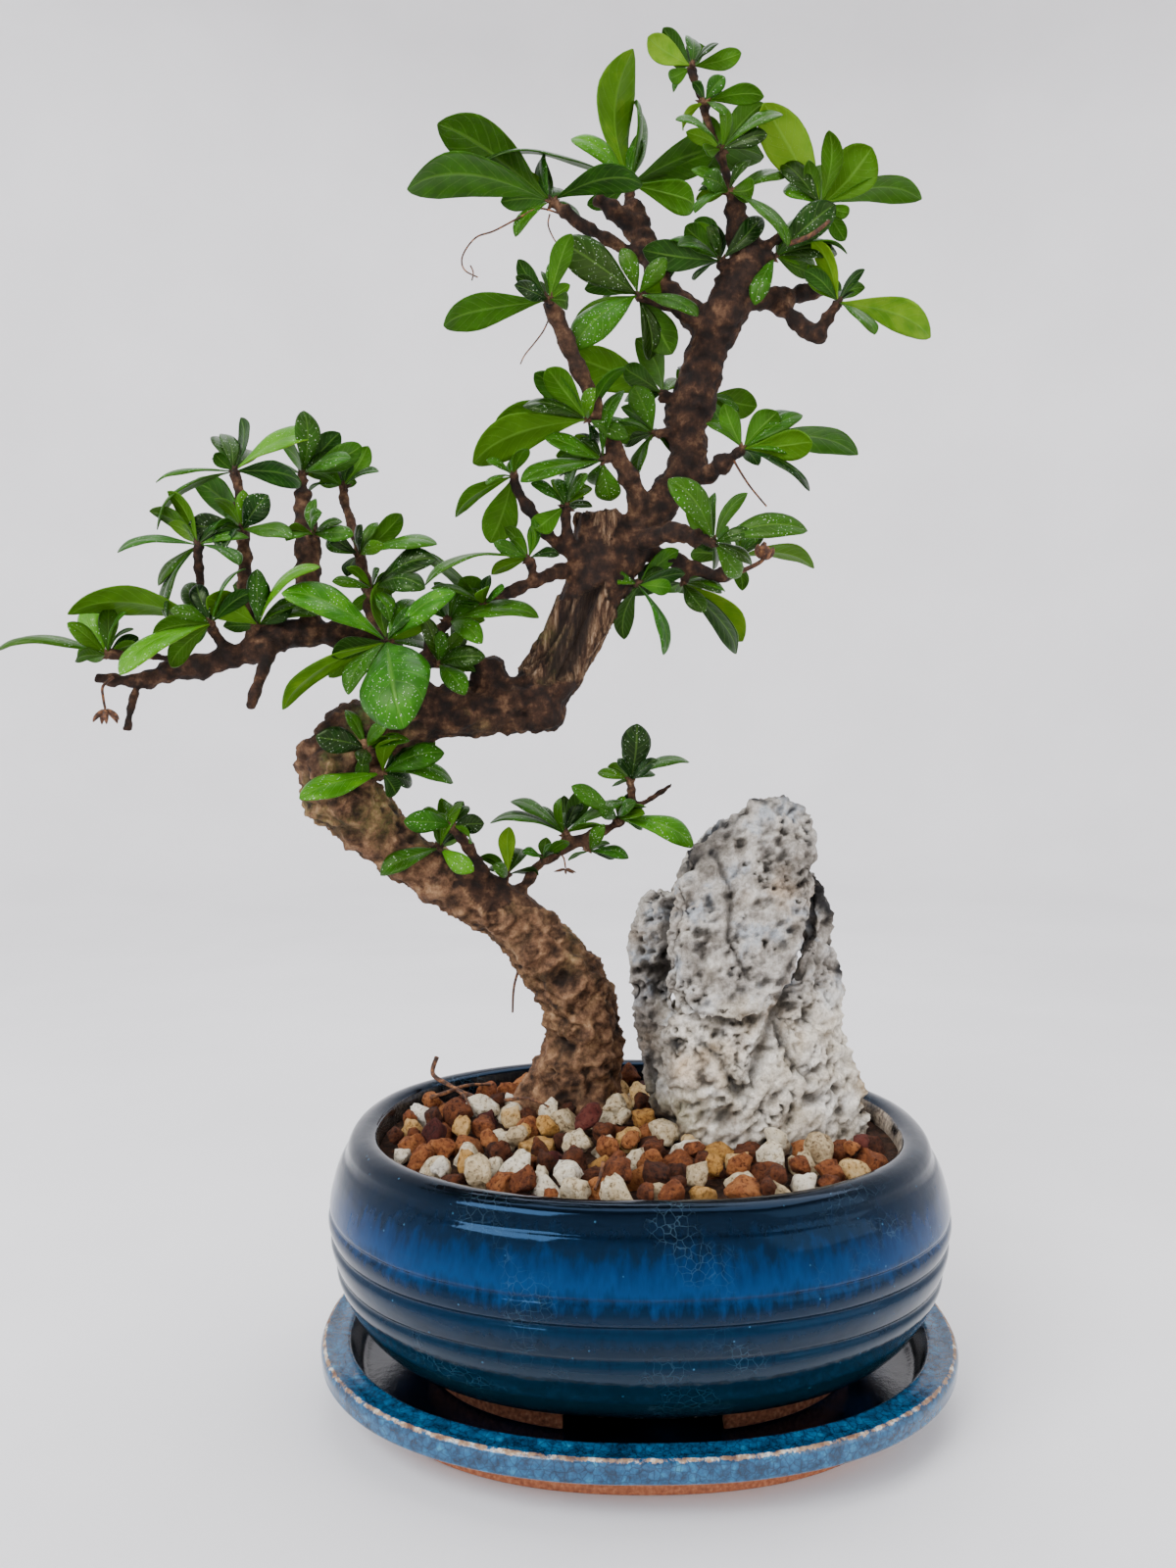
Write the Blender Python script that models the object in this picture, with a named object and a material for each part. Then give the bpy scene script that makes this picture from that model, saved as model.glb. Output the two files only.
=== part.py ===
"""A flowering bonsai with a rock, in a glazed oval pot on its saucer.

Run with: blender --background --python part.py
Metres, +Z up, +X to the right, +Y away from the viewer. The origin is on the table, under the
middle of the saucer. The tables of the tree and the rock are in millimetres, measured from the
middle of the pot at the level of the soil.
"""

import math

import bmesh
import bpy
from mathutils import Quaternion, Vector, noise
from mathutils.bvhtree import BVHTree
from mathutils.geometry import intersect_point_line

MM = 0.001
GAP = 0.0003  # clearance between pieces that touch on the real object

# Pot
POT_LENGTH = 0.2026  # across the belly
POT_WIDTH = 0.1600
POT_HEIGHT = 0.0787  # from the feet to the top of the rim
POT_FLOOR = 0.0065
RIM_INSET = 0.0165  # from the belly in to the edge of the opening
UNDERSIDE_INSET = 0.0270
FOOT_HEIGHT = 0.0092
FOOT_WIDTH = 0.0075
FOOT_INSET = 0.0310
FOOT_GAP_FRONT = 0.048  # length of the notch in the foot ring, front and back
FOOT_GAP_SIDE = 0.026
DRAIN_RADIUS = 0.0070
DRAIN_SPACING = 0.070  # between the middles of the two drain holes
OVAL_POWER = 2.2  # 2 is an ellipse, higher is squarer

# Saucer
SAUCER_PAST_ENDS = 0.0030  # from the pot's belly out to the lip, at each end
SAUCER_PAST_FRONT = -0.0005  # the same at the front, where the belly hangs over the lip
SAUCER_LENGTH = POT_LENGTH + 2 * SAUCER_PAST_ENDS
SAUCER_WIDTH = POT_WIDTH + 2 * SAUCER_PAST_FRONT
SAUCER_HEIGHT = 0.0212
SAUCER_FLOOR = 0.0090  # thickness of the floor, its foot included
SAUCER_LIP = 0.0095  # width of the flat lip
SAUCER_FOOT_INSET = 0.0175  # the foot stands this far inside the lip
SAUCER_FOOT_HEIGHT = 0.0045
LIP_BAND = 0.0075  # height of the upright band under the lip

# Filling
SOIL_BELOW_RIM = 0.0135
DRESSING_DEPTH = 0.0055
DRESSING_ROUGHNESS = 0.0009
SCREEN_RADIUS = 0.0115
SCREEN_THICKNESS = 0.0008

# Rock
ROCK_SCALE = 1.0
ROCK_ROUGHNESS = 0.0022

# Tree
TREE_HEIGHT = 0.358  # from the soil to the topmost bud
BARK_GIRTH = 1.0  # thickness of the wood
LEAF_SIZE = 1.0
LEAF_THICKNESS = 0.0010
NARROWEST_LEAF = 0.0030
BUD_RADIUS = 0.0016
SPUR_RADIUS = 0.0013

TABLE_HEIGHT = 358  # millimetres between the soil and the topmost bud in the tables below
TREE_SCALE = TREE_HEIGHT / (TABLE_HEIGHT * MM)
POT_FOOT_Z = SAUCER_FLOOR + GAP
POT_UNDERSIDE_Z = POT_FOOT_Z + FOOT_HEIGHT
POT_RIM_Z = POT_FOOT_Z + POT_HEIGHT
POT_FLOOR_Z = POT_UNDERSIDE_Z + POT_FLOOR
SOIL_TOP_Z = POT_RIM_Z - SOIL_BELOW_RIM
DRESSING_TOP_Z = SOIL_TOP_Z + GAP + DRESSING_DEPTH
TREE_FOOT_Z = DRESSING_TOP_Z

RING_POINTS = 40

# Outside of the pot: inset from the belly in metres, share of the height from underside to rim
POT_OUTSIDE = (
    (UNDERSIDE_INSET, 0.00),
    (0.0215, 0.03),
    (0.0120, 0.14),
    (0.0050, 0.29),
    (0.0015, 0.43),
    (0.0000, 0.57),
    (0.0006, 0.70),
    (0.0028, 0.82),
    (0.0055, 0.915),
    (0.0085, 0.975),
    (0.0122, 1.00),
    (RIM_INSET - 0.0013, 0.985),
)
# Inside of the pot, from the opening down to the floor
POT_INSIDE = (
    (RIM_INSET, 0.95),
    (0.0130, 0.75),
    (0.0135, 0.45),
    (0.0200, 0.22),
)
INSIDE_FLOOR_INSET = 0.0300

# Wood: points of each limb as (x, y, height, radius) in millimetres
TRUNK = (
    (-24, 38, -12, 13.0), (-23, 38, 0, 15.5), (-18, 37, 27, 13.9), (-21, 35, 42, 13.5),
    (-31, 32, 57, 12.3), (-45, 28, 71, 10.4), (-62, 24, 83, 10.0), (-74, 21, 90, 9.9),
    (-85, 18, 99, 9.8), (-94, 16, 107, 11.5), (-101, 14, 118, 13.8), (-98, 13, 131, 12.3),
    (-86, 13, 139, 10.6), (-67, 15, 143, 9.2), (-50, 17, 145, 9.7), (-35, 20, 149, 10.2),
    (-25, 22, 163, 9.8), (-16, 23, 182, 10.2), (-12, 24, 195, 10.5), (-11, 24, 213, 8.5),
)
LIMBS = {
    "hump": ((-48, 18, 147, 8.7), (-50, 16, 156, 6.7), (-51, 15, 162, 5.0)),
    "corner_knob": ((-38, 19, 148, 10), (-30, 18, 145, 9), (-25, 17, 145, 4.5)),
    "living_branch": (
        (-10, 24, 186, 8.1), (2, 26, 207, 7.1), (19, 30, 231, 6.5), (18, 31, 242, 7.4),
        (20, 30, 251, 8.2), (23, 29, 261, 7.5), (26, 27, 271, 7.1), (32, 25, 282, 7.7),
        (38, 24, 297, 6.7), (36, 23, 304, 5.3), (34, 22, 311, 3.7), (33, 22, 317, 2.6),
    ),
    "leader": ((33, 22, 314, 2.0), (31, 21, 321, 1.4), (28, 20, 330, 1.3), (24, 19, 340, 1.2),
               (19, 18, 353, 1.0)),
    "riser": ((2, 24, 205, 4.4), (0, 20, 218, 3.7), (-6, 14, 228, 3.0), (-13, 9, 243, 2.6),
              (-20, 5, 256, 2.6), (-27, 2, 269, 2.9)),
    "right_stub": ((32, 25, 282, 4.7), (43, 28, 286, 4.4), (50, 30, 286, 4.1), (57, 33, 289, 3.1),
                   (66, 36, 292, 2.8)),
    "right_fork": ((48, 29, 285, 3.1), (55, 26, 278, 3.0), (61, 23, 273, 2.7), (65, 20, 276, 2.4)),
    "mid_right": ((19, 30, 231, 4.8), (23, 24, 224, 3.0), (27, 18, 226, 3.0), (31, 14, 228, 2.8)),
    "low_right": ((-3, 24, 202, 4.7), (5, 16, 202, 3.3), (13, 10, 203, 2.9), (20, 5, 200, 2.6)),
    "low_right_long": ((-5, 24, 200, 4.1), (6, 28, 199, 3.1), (19, 32, 195, 2.4),
                       (28, 35, 192, 2.1), (35, 37, 193, 2.8)),
    "upper_left": ((26, 27, 272, 5.1), (17, 29, 284, 4.1), (10, 31, 291, 3.7), (6, 33, 301, 4.1),
                   (1, 35, 312, 4.3), (-2, 36, 320, 3.8)),
    "upper_stub": ((1, 35, 312, 3.1), (-7, 31, 316, 2.7), (-14, 28, 320, 2.0)),
    "upper_twig": ((1, 34, 302, 2.4), (-7, 30, 305, 2.0), (-19, 26, 310, 2.0), (-25, 24, 314, 2.0)),
    "crown_twig": ((27, 27, 274, 4.0), (14, 23, 280, 2.0), (5, 21, 283, 1.8)),
    "right_twig": ((38, 24, 297, 4.0), (46, 21, 302, 1.5), (53, 19, 306, 1.3), (58, 18, 310, 1.2)),
    "left_branch": (
        (-63, 14, 141, 6.0), (-73, 11, 148, 5.9), (-80, 9, 159, 5.6), (-87, 8, 166, 5.2),
        (-100, 6, 169, 4.5), (-112, 5, 169, 4.5), (-119, 4, 168, 4.8), (-123, 2, 165, 4.5),
        (-133, 0, 161, 3.8), (-143, -2, 158, 3.8), (-152, -4, 156, 3.5), (-162, -6, 153, 2.5),
        (-174, -9, 154, 1.6),
    ),
    "down_stub": ((-120, 4, 167, 2.8), (-122, -2, 157, 2.0), (-125, -8, 144, 1.6)),
    "down_twig": ((-157, -5, 155, 2.0), (-161, -9, 150, 1.3), (-163, -12, 138, 1.2)),
    "pad_stem_a": ((-126, 3, 165, 2.9), (-130, 7, 185, 2.6), (-131, 9, 196, 2.4),
                   (-132, 10, 212, 1.9), (-133, 10, 219, 1.3)),
    "pad_stub": ((-107, 6, 168, 3.9), (-110, 9, 185, 3.9), (-110, 11, 200, 4.2),
                 (-112, 12, 210, 3.3), (-112, 12, 216, 2.6)),
    "pad_stem_b": ((-87, 9, 167, 2.3), (-91, 13, 185, 2.0), (-95, 17, 201, 1.7),
                   (-100, 20, 215, 1.3)),
    "pad_stem_c": ((-132, 0, 161, 1.9), (-139, -3, 171, 1.6), (-141, -5, 183, 1.6),
                   (-141, -7, 191, 1.3)),
    "pad_stem_d": ((-74, 11, 150, 3.4), (-71, 9, 159, 2.6), (-69, 7, 166, 2.2), (-66, 6, 170, 1.7)),
    "tip_twig": ((-140, -1, 160, 1.4), (-149, -7, 160, 1.1), (-157, -11, 161, 1.0),
                 (-164, -13, 161, 0.9)),
    "mid_left": ((-16, 22, 190, 3.4), (-25, 17, 191, 2.7), (-32, 12, 188, 2.3), (-40, 8, 184, 2.0),
                 (-46, 4, 180, 1.4)),
    "crook": ((-16, 20, 194, 3.4), (-28, 15, 201, 2.3), (-35, 11, 209, 2.2), (-40, 9, 216, 1.4)),
    "crook_side": ((-18, 20, 196, 3.0), (-23, 15, 202, 1.8), (-24, 13, 207, 1.3)),
    "sprig": ((-44, 30, 77, 2.6), (-38, 30, 83, 2.1), (-35, 31, 88, 1.7), (-31, 32, 91, 1.8),
              (-25, 33, 94, 1.8), (-19, 34, 98, 1.8), (-11, 35, 101, 1.7), (-5, 36, 104, 1.4),
              (-1, 37, 109, 1.3), (-1, 37, 114, 1.1)),
    "sprig_end": ((-1, 37, 108, 1.4), (6, 39, 112, 1.1), (14, 41, 117, 1.1)),
    "lower_fork": ((-51, 25, 80, 3.6), (-55, 18, 92, 2.0), (-60, 13, 101, 1.7)),
}
# Roots: the first two show above the gravel and dive into it, the others lie in the soil
ROOTS = (
    ((-27, 37, 9, 11.0), (-37, 35, 3, 8.5), (-46, 33, -3, 5.5), (-54, 31, -10, 3.5)),
    ((-18, 35, 7, 11.0), (-12, 28, 1, 7.5), (-7, 22, -6, 5.0), (-4, 18, -13, 3.0)),
    ((-24, 38, -8, 8.0), (-38, 44, -22, 4.0), (-56, 40, -34, 2.5)),
    ((-24, 38, -8, 8.0), (-8, 42, -26, 4.0), (14, 36, -40, 2.5)),
    ((-24, 38, -8, 8.0), (-30, 22, -26, 4.0), (-40, 0, -38, 2.5)),
)

# Leaves: each tuft is (bud), [(tip from bud x, y, z, width, lean)] in millimetres and degrees.
# Lean turns the upper face of a leaf from straight up to the front, or below zero to the back.
TUFTS = {
    "far_left": ((-167, -14, 161), [
        (-33, -4, 2, 4, 15), (-9, 6, 16, 8, 55), (8, -6, 13, 2, 20), (5, 8, 9, 2, 20),
        (-5, -12, -2, 3, -40)]),
    "left_low": ((-136, -11, 171), [
        (-40, -12, 3, 10, -60), (-21, -22, -16, 8, 45), (-13, 10, -6, 6, -40),
        (10, 2, 18, 4, 40), (-10, -10, -14, 5, -50)]),
    "left_mid": ((-125, 1, 171), [
        (-13, -12, 8, 10, -50), (2, -8, 17, 7, 40), (22, -12, 18, 6, 45), (-12, 16, 15, 6, -40)]),
    "stem_a_mid": ((-130, 4, 203), [
        (-15, -8, 0, 9, 50), (-2, -16, -9, 7, 50), (10, -6, 10, 9, 50), (19, -12, -4, 7, 45),
        (-19, 12, 18, 10, -55)]),
    "stem_a_top": ((-134, 10, 222), [
        (28, 2, 13, 8, 50), (25, -8, -5, 8, -35), (-5, -4, 5, 5, -40), (-24, -6, -4, 3, 20),
        (-23, -10, -20, 3, 25)]),
    "stem_c_top": ((-141, -7, 195), [
        (-22, -10, -3, 5, 30), (-17, 6, 12, 6, -45), (-12, -4, -13, 5, 45), (16, -10, -7, 3, 30),
        (-9, -6, -24, 6, 50)]),
    "stub_top": ((-112, 12, 219), [
        (21, -4, 8, 9, -50), (-18, 10, 2, 5, 30), (-10, 16, 13, 5, -40)]),
    "stem_b_top": ((-100, 20, 218), [
        (-12, -4, 4, 3, -25), (8, 4, 14, 7, -45), (13, -6, 4, 3, 20), (-13, 6, 0, 3, 25)]),
    "stub_mid": ((-106, 1, 201), [
        (-7, -8, -3, 3, 30), (5, -12, 5, 4, 45), (14, -6, -1, 6, 40), (0, 2, 12, 5, 40)]),
    "stem_b_mid": ((-93, 12, 195), [
        (15, -4, 13, 7, -45), (27, -10, 3, 5, 25), (6, 6, 8, 5, -40), (-12, 6, 7, 7, 45)]),
    "stem_b_low": ((-88, 7, 184), [
        (22, -8, 9, 8, 50), (19, -14, -1, 7, 50), (-12, -6, 2, 4, 35), (7, -8, -11, 4, 40),
        (6, 14, 2, 5, -30)]),
    "bend_face": ((-82, -1, 166), [
        (-30, -14, 15, 9, 55), (23, -12, 15, 8, 60), (10, -34, -27, 24, 10),
        (-34, -4, -21, 3, -10), (-20, 4, -11, 6, -45), (-10, -16, -17, 7, 40)]),
    "bend_crown": ((-66, 5, 159), [
        (16, -10, 2, 8, 40), (2, -8, 10, 6, 50), (10, -14, -10, 7, 40)]),
    "pad_right": ((-64, 6, 172), [
        (30, -10, 1, 8, 50), (12, -2, 9, 9, 45), (-10, 8, 7, 5, 40), (12, -14, -8, 7, 40),
        (-4, 14, 11, 7, -50)]),
    "mid_left_knob": ((-36, 6, 194), [
        (-33, -12, -9, 4, 25), (-11, -6, 4, 5, 40), (-8, 6, 11, 5, -40)]),
    "mid_left_tip": ((-49, 3, 179), [
        (-8, 4, 9, 9, -55), (-21, 8, 18, 5, -35), (-16, -8, 5, 3, 25), (7, -8, 5, 3, 35)]),
    "riser_low": ((-10, 12, 228), [
        (-27, -10, -8, 7, 40), (-19, -4, 7, 7, 40), (6, -8, 21, 4, 35), (3, 8, -12, 9, 55)]),
    "riser_mid": ((-15, 8, 241), [
        (-31, 6, 0, 11, -60), (-38, -2, -14, 12, -60), (12, -8, 15, 4, -40), (-15, 14, 13, 8, -40)]),
    "knob_left": ((6, 24, 239), [
        (-21, -14, -1, 3, 25), (-7, -4, 15, 9, 50), (-6, -6, -15, 4, 30)]),
    "branch_left": ((11, 28, 253), [
        (-32, 4, 14, 11, -60), (-14, -10, 6, 8, -45), (-8, 14, 23, 7, -40)]),
    "crook_top": ((-41, 8, 220), [
        (5, -6, 8, 4, -40), (-8, -6, 4, 3, 30), (-8, -8, -4, 3, 30), (-8, 6, -21, 12, -65),
        (-19, -6, -14, 4, -25)]),
    "crook_side": ((-24, 13, 210), [
        (-11, -8, 6, 4, 30), (7, -8, 9, 4, 35), (-10, -10, -10, 8, -45), (6, 6, 19, 5, 30)]),
    "mid_right_tip": ((34, 11, 230), [
        (21, -10, -15, 6, 45), (21, -14, -1, 9, -40), (40, 8, 1, 7, -40), (11, -4, 11, 10, -50),
        (-6, 2, 15, 7, -40), (-11, 8, 11, 6, 45), (20, 10, 15, 5, 30)]),
    "branch_back": ((26, 39, 256), [
        (18, 4, -3, 11, -60), (-10, 12, 12, 8, -40), (8, 18, -8, 7, -30)]),
    "low_right_tip": ((23, 3, 199), [
        (29, -8, 3, 10, 60), (-15, -8, 19, 10, 60), (0, 4, 17, 4, 30), (-8, 10, 12, 6, -40)]),
    "low_right_far": ((37, 39, 199), [
        (-2, -6, 8, 3, 30), (-18, -10, 0, 6, -40), (28, 2, -3, 5, -35), (3, 8, -11, 5, -40),
        (-2, 16, 13, 6, -30)]),
    "low_right_knob": ((17, 33, 189), [
        (7, -8, -11, 7, 50), (22, 2, -20, 10, -60), (19, -8, -25, 6, -35), (16, 6, -2, 5, 30)]),
    "trunk_right": ((-1, 20, 187), [
        (11, -6, -2, 6, -40), (9, -8, -24, 4, 30), (14, 8, 13, 6, -35)]),
    "leader_top": ((18, 18, 358), [
        (-15, -4, 7, 9, -55), (16, -6, 1, 6, -40), (-8, -4, -6, 5, -40), (-6, 6, -5, 3, 25),
        (5, 12, 13, 5, -30)]),
    "leader_mid": ((22, 18, 344), [
        (6, -4, 6, 6, 45), (6, 6, 7, 3, -50), (19, -4, 0, 4, -25), (6, -6, -7, 4, 50),
        (-8, -4, -11, 2, 0)]),
    "leader_low": ((29, 20, 330), [
        (19, -6, 9, 5, 35), (14, 4, 17, 8, -55), (-6, 10, 9, 4, -30)]),
    "left_crown": ((-2, 35, 325), [
        (0, -2, 44, 14, -70), (3, 8, 32, 6, 60), (-20, -4, 14, 8, 50), (29, -6, 8, 10, -55),
        (45, -12, 5, 7, -40), (22, -16, -14, 7, -45), (-52, -12, 3, 7, 35)]),
    "left_crown_twig": ((-28, 24, 316), [
        (-37, -6, 23, 14, -60), (-47, -12, 0, 8, -45), (31, -8, 3, 5, -35), (-3, 6, 18, 5, 40),
        (-12, -4, -13, 5, 30), (11, 8, -3, 5, 35)]),
    "riser_top": ((-29, 1, 275), [
        (-33, -8, -10, 8, -45), (-10, -10, 1, 6, 40), (7, -4, 19, 6, -45), (2, 4, 13, 5, 45)]),
    "crown_spur": ((1, 20, 284), [
        (-26, -12, 13, 14, 60), (-22, -14, -22, 12, 60), (-18, 2, 3, 4, -20), (9, -8, 9, 7, 50),
        (-21, 10, -5, 9, -55), (19, -14, -11, 8, 50), (12, 6, -18, 12, -60)]),
    "crown_centre": ((32, 20, 317), [
        (-12, -6, -9, 4, 40), (-9, -8, 1, 8, 55), (19, -10, -21, 8, 45), (8, -6, -1, 8, -45),
        (21, 8, 10, 8, 40)]),
    "crown_left": ((30, 21, 294), [
        (-13, -8, 8, 9, -50), (-15, -14, 0, 7, 45), (-26, 4, 5, 10, -55), (-7, 14, 19, 7, -35)]),
    "crown_right": ((45, 21, 297), [
        (18, -10, 13, 11, 60), (24, -2, 1, 4, 25), (9, 10, 14, 7, -35)]),
    "right_high": ((61, 17, 312), [
        (-20, -4, 31, 15, -65), (15, -8, 15, 16, -60), (34, 2, 4, 4, -25), (8, -8, -6, 4, -40),
        (-11, 8, 10, 8, 45), (6, 20, 21, 9, -30)]),
    "right_fork_tip": ((67, 19, 280), [
        (-9, -2, 20, 5, -35), (10, 6, 7, 3, -30), (30, -6, -13, 7, -45), (10, -12, -14, 6, 40)]),
    "bend_top": ((-89, -1, 131), [(-14, -10, 4, 9, 60), (8, -8, 8, 5, 60)]),
    "bend_inner": ((-85, 6, 123), [
        (-24, -16, -7, 8, 55), (21, -6, 7, 8, 55), (6, -8, -7, 7, -50), (23, 6, -3, 4, 20)]),
    "lower_top": ((-62, 12, 104), [
        (-15, -8, 2, 8, 60), (-11, 4, 5, 6, 50), (-3, 8, 8, 3, 30), (11, -4, 1, 7, 45),
        (7, -8, -5, 3, -20)]),
    "lower_front": ((-67, 13, 97), [(-19, -8, -8, 7, 55), (12, -8, -7, 7, 60)]),
    "sprig_base": ((-46, 25, 85), [(0, -2, 17, 6, -65)]),
    "sprig_a": ((-32, 30, 91), [(-7, -4, 3, 2, 20), (9, -6, 7, 4, -40), (1, 4, 7, 5, -50)]),
    "sprig_b": ((-25, 33, 100), [
        (-26, -4, 5, 3, 25), (-19, 2, 12, 3, 25), (-1, 8, 7, 4, 40), (14, -8, 4, 3, -30),
        (21, -2, 12, 3, 25)]),
    "sprig_c": ((-16, 31, 94), [(5, -6, 10, 5, 50), (14, -2, -2, 4, 35)]),
    "sprig_d": ((-6, 33, 105), [
        (-16, -4, 12, 6, 45), (2, 2, 8, 4, 40), (10, -6, 5, 3, -25), (27, -6, -9, 7, 55)]),
    "sprig_top": ((-1, 37, 117), [
        (2, -4, 20, 11, 70), (21, 2, 7, 3, 25), (9, 8, 2, 3, 30), (-7, -4, -2, 2, 20)]),
}

# Dried flowers: (stem top, cup) in millimetres
DRIED_FLOWERS = {
    "dried_flower_left": ((-169, -13, 154), (-171, -15, 145)),
    "dried_flower_right": ((40, 32, 194), (45, 31, 199)),
}
CUP_RADIUS = 0.0030
CUP_DEPTH = 0.0045
CUP_STEM_RADIUS = 0.0009
# Share of the depth of the cup and of its radius, from the stalk to the mouth
CUP_OUTLINE = ((0, 0.35), (0.45, 1.0), (1.0, 0.85))

# Rock: height, left, right, front, back of each level in millimetres
ROCK = (
    (-8, 20, 75, -8, 31), (-3, 16, 77, -11, 35), (5, 14, 79, -13, 37), (14, 11, 79, -12, 42),
    (26, 2, 78, -10, 45), (38, -2, 75, -8, 45), (48, -4, 73, -6, 44), (61, -2, 71, -4, 42),
    (76, 3, 67, -1, 38), (86, 11, 62, 2, 35), (96, 20, 64, 5, 32), (106, 29, 63, 9, 27),
    (112, 38, 56, 13, 22),
)
ROCK_POINTS = 18


def clear_scene():
    for obj in list(bpy.data.objects):
        bpy.data.objects.remove(obj, do_unlink=True)


def new_collection(name):
    collection = bpy.data.collections.new(name)
    bpy.context.scene.collection.children.link(collection)
    return collection


def new_material(name, colour, roughness):
    material = bpy.data.materials.new(name)
    material.use_nodes = True
    shader = material.node_tree.nodes["Principled BSDF"]
    shader.inputs["Base Color"].default_value = (*colour, 1)
    shader.inputs["Roughness"].default_value = roughness
    return material


clear_scene()
BONSAI = new_collection("bonsai")
CUTTERS = new_collection("cutters")
GLAZE = new_material("cobalt_glaze", (0.015, 0.055, 0.125), 0.2)
SAUCER_GLAZE = new_material("turquoise_glaze", (0.035, 0.13, 0.17), 0.2)
SCREEN_PLASTIC = new_material("screen_plastic", (0.02, 0.02, 0.02), 0.6)
EARTH = new_material("potting_soil", (0.09, 0.055, 0.035), 0.95)
GRIT = new_material("mixed_grit", (0.30, 0.22, 0.15), 0.9)
STONE = new_material("pitted_stone", (0.42, 0.41, 0.39), 0.85)
BARK = new_material("bark", (0.16, 0.085, 0.05), 0.85)
LEAF_GREEN = new_material("leaf_green", (0.045, 0.16, 0.03), 0.4)
DRY_CUP = new_material("dried_flower", (0.25, 0.11, 0.04), 0.8)


def add_object(name, bm, material, collection):
    bmesh.ops.triangulate(bm, faces=[face for face in bm.faces if len(face.verts) > 4])
    bmesh.ops.recalc_face_normals(bm, faces=bm.faces)
    mesh = bpy.data.meshes.new(name)
    bm.to_mesh(mesh)
    bm.free()
    obj = bpy.data.objects.new(name, mesh)
    collection.objects.link(obj)
    if material:
        mesh.materials.append(material)
    mesh.shade_smooth()
    mesh.set_sharp_from_angle(angle=math.radians(40))
    if collection is CUTTERS:
        obj.hide_render = True
        obj.display_type = "WIRE"
    return obj


def oval_ring(bm, half_length, half_width, height):
    """A ring of edges on a rounded oval."""
    made = bmesh.ops.create_circle(bm, segments=RING_POINTS, radius=1)["verts"]
    for vert in made:
        angle = math.atan2(vert.co.y, vert.co.x)
        cosine, sine = math.cos(angle), math.sin(angle)
        share = 2 / OVAL_POWER
        vert.co.x = math.copysign(abs(cosine) ** share, cosine) * half_length
        vert.co.y = math.copysign(abs(sine) ** share, sine) * half_width
        vert.co.z = height
    return made


def bridged(bm, rings):
    """Joins each ring to the next, point to point, and closes the first and the last."""
    for lower, upper in zip(rings, rings[1:]):
        for i in range(len(lower)):
            bm.faces.new((lower[i - 1], lower[i], upper[i], upper[i - 1]))
    bm.faces.new(rings[0])
    bm.faces.new(rings[-1])


def oval_body(name, rows, material, collection=None):
    """A body lofted through ovals, given as (half length, half width, height)."""
    bm = bmesh.new()
    bridged(bm, [oval_ring(bm, *row) for row in rows])
    return add_object(name, bm, material, collection or BONSAI)


def boolean(target, others, operation, solver="EXACT"):
    for number, other in enumerate(others):
        modifier = target.modifiers.new(f"{operation.lower()}_{number}", "BOOLEAN")
        modifier.object = other
        modifier.operation = operation
        modifier.solver = solver


def box_cutter(name, centre, size):
    bm = bmesh.new()
    bmesh.ops.create_cube(bm, size=1)
    bmesh.ops.scale(bm, vec=size, verts=bm.verts)
    bmesh.ops.translate(bm, vec=centre, verts=bm.verts)
    return add_object(name, bm, None, CUTTERS)


def disc(name, x, bottom, top, radius, material, collection):
    bm = bmesh.new()
    bmesh.ops.create_cone(bm, cap_ends=True, segments=24, radius1=radius, radius2=radius,
                          depth=top - bottom)
    bmesh.ops.translate(bm, vec=(x, 0, (bottom + top) / 2), verts=bm.verts)
    return add_object(name, bm, material, collection)


# Saucer and pot


def saucer_row(inset, height):
    return SAUCER_LENGTH / 2 - inset, SAUCER_WIDTH / 2 - inset, height


def make_saucer():
    lip_bottom = SAUCER_HEIGHT - LIP_BAND
    hollow = SAUCER_HEIGHT - SAUCER_FLOOR
    rows = (
        saucer_row(SAUCER_FOOT_INSET, 0),
        saucer_row(SAUCER_FOOT_INSET, SAUCER_FOOT_HEIGHT),
        saucer_row(SAUCER_FOOT_INSET * 0.55, SAUCER_FLOOR),
        saucer_row(0.0012, lip_bottom),
        saucer_row(0, lip_bottom + 0.0015),
        saucer_row(0, SAUCER_HEIGHT - 0.0016),
        saucer_row(0.0014, SAUCER_HEIGHT),
        saucer_row(SAUCER_LIP - 0.0012, SAUCER_HEIGHT),
        saucer_row(SAUCER_LIP, SAUCER_HEIGHT - 0.0012),
        saucer_row(SAUCER_LIP + 0.0018, SAUCER_FLOOR + hollow * 0.35),
        saucer_row(SAUCER_LIP + 0.0055, SAUCER_FLOOR),
    )
    return oval_body("saucer", rows, SAUCER_GLAZE)


def pot_row(inset, height):
    return POT_LENGTH / 2 - inset, POT_WIDTH / 2 - inset, height


def pot_height(share):
    return POT_UNDERSIDE_Z + share * (POT_RIM_Z - POT_UNDERSIDE_Z)


def inside_profile():
    """Insets and heights of the pot's inner wall, from the opening down to the floor."""
    rows = [(inset, pot_height(share)) for inset, share in POT_INSIDE]
    return rows + [(INSIDE_FLOOR_INSET, POT_FLOOR_Z)]


def inside_inset(height):
    rows = inside_profile()
    for (upper_inset, upper), (lower_inset, lower) in zip(rows, rows[1:]):
        if height >= lower:
            share = (height - lower) / (upper - lower)
            return lower_inset + share * (upper_inset - lower_inset)
    return INSIDE_FLOOR_INSET


def drain_places():
    return (-DRAIN_SPACING / 2, DRAIN_SPACING / 2)


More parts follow.
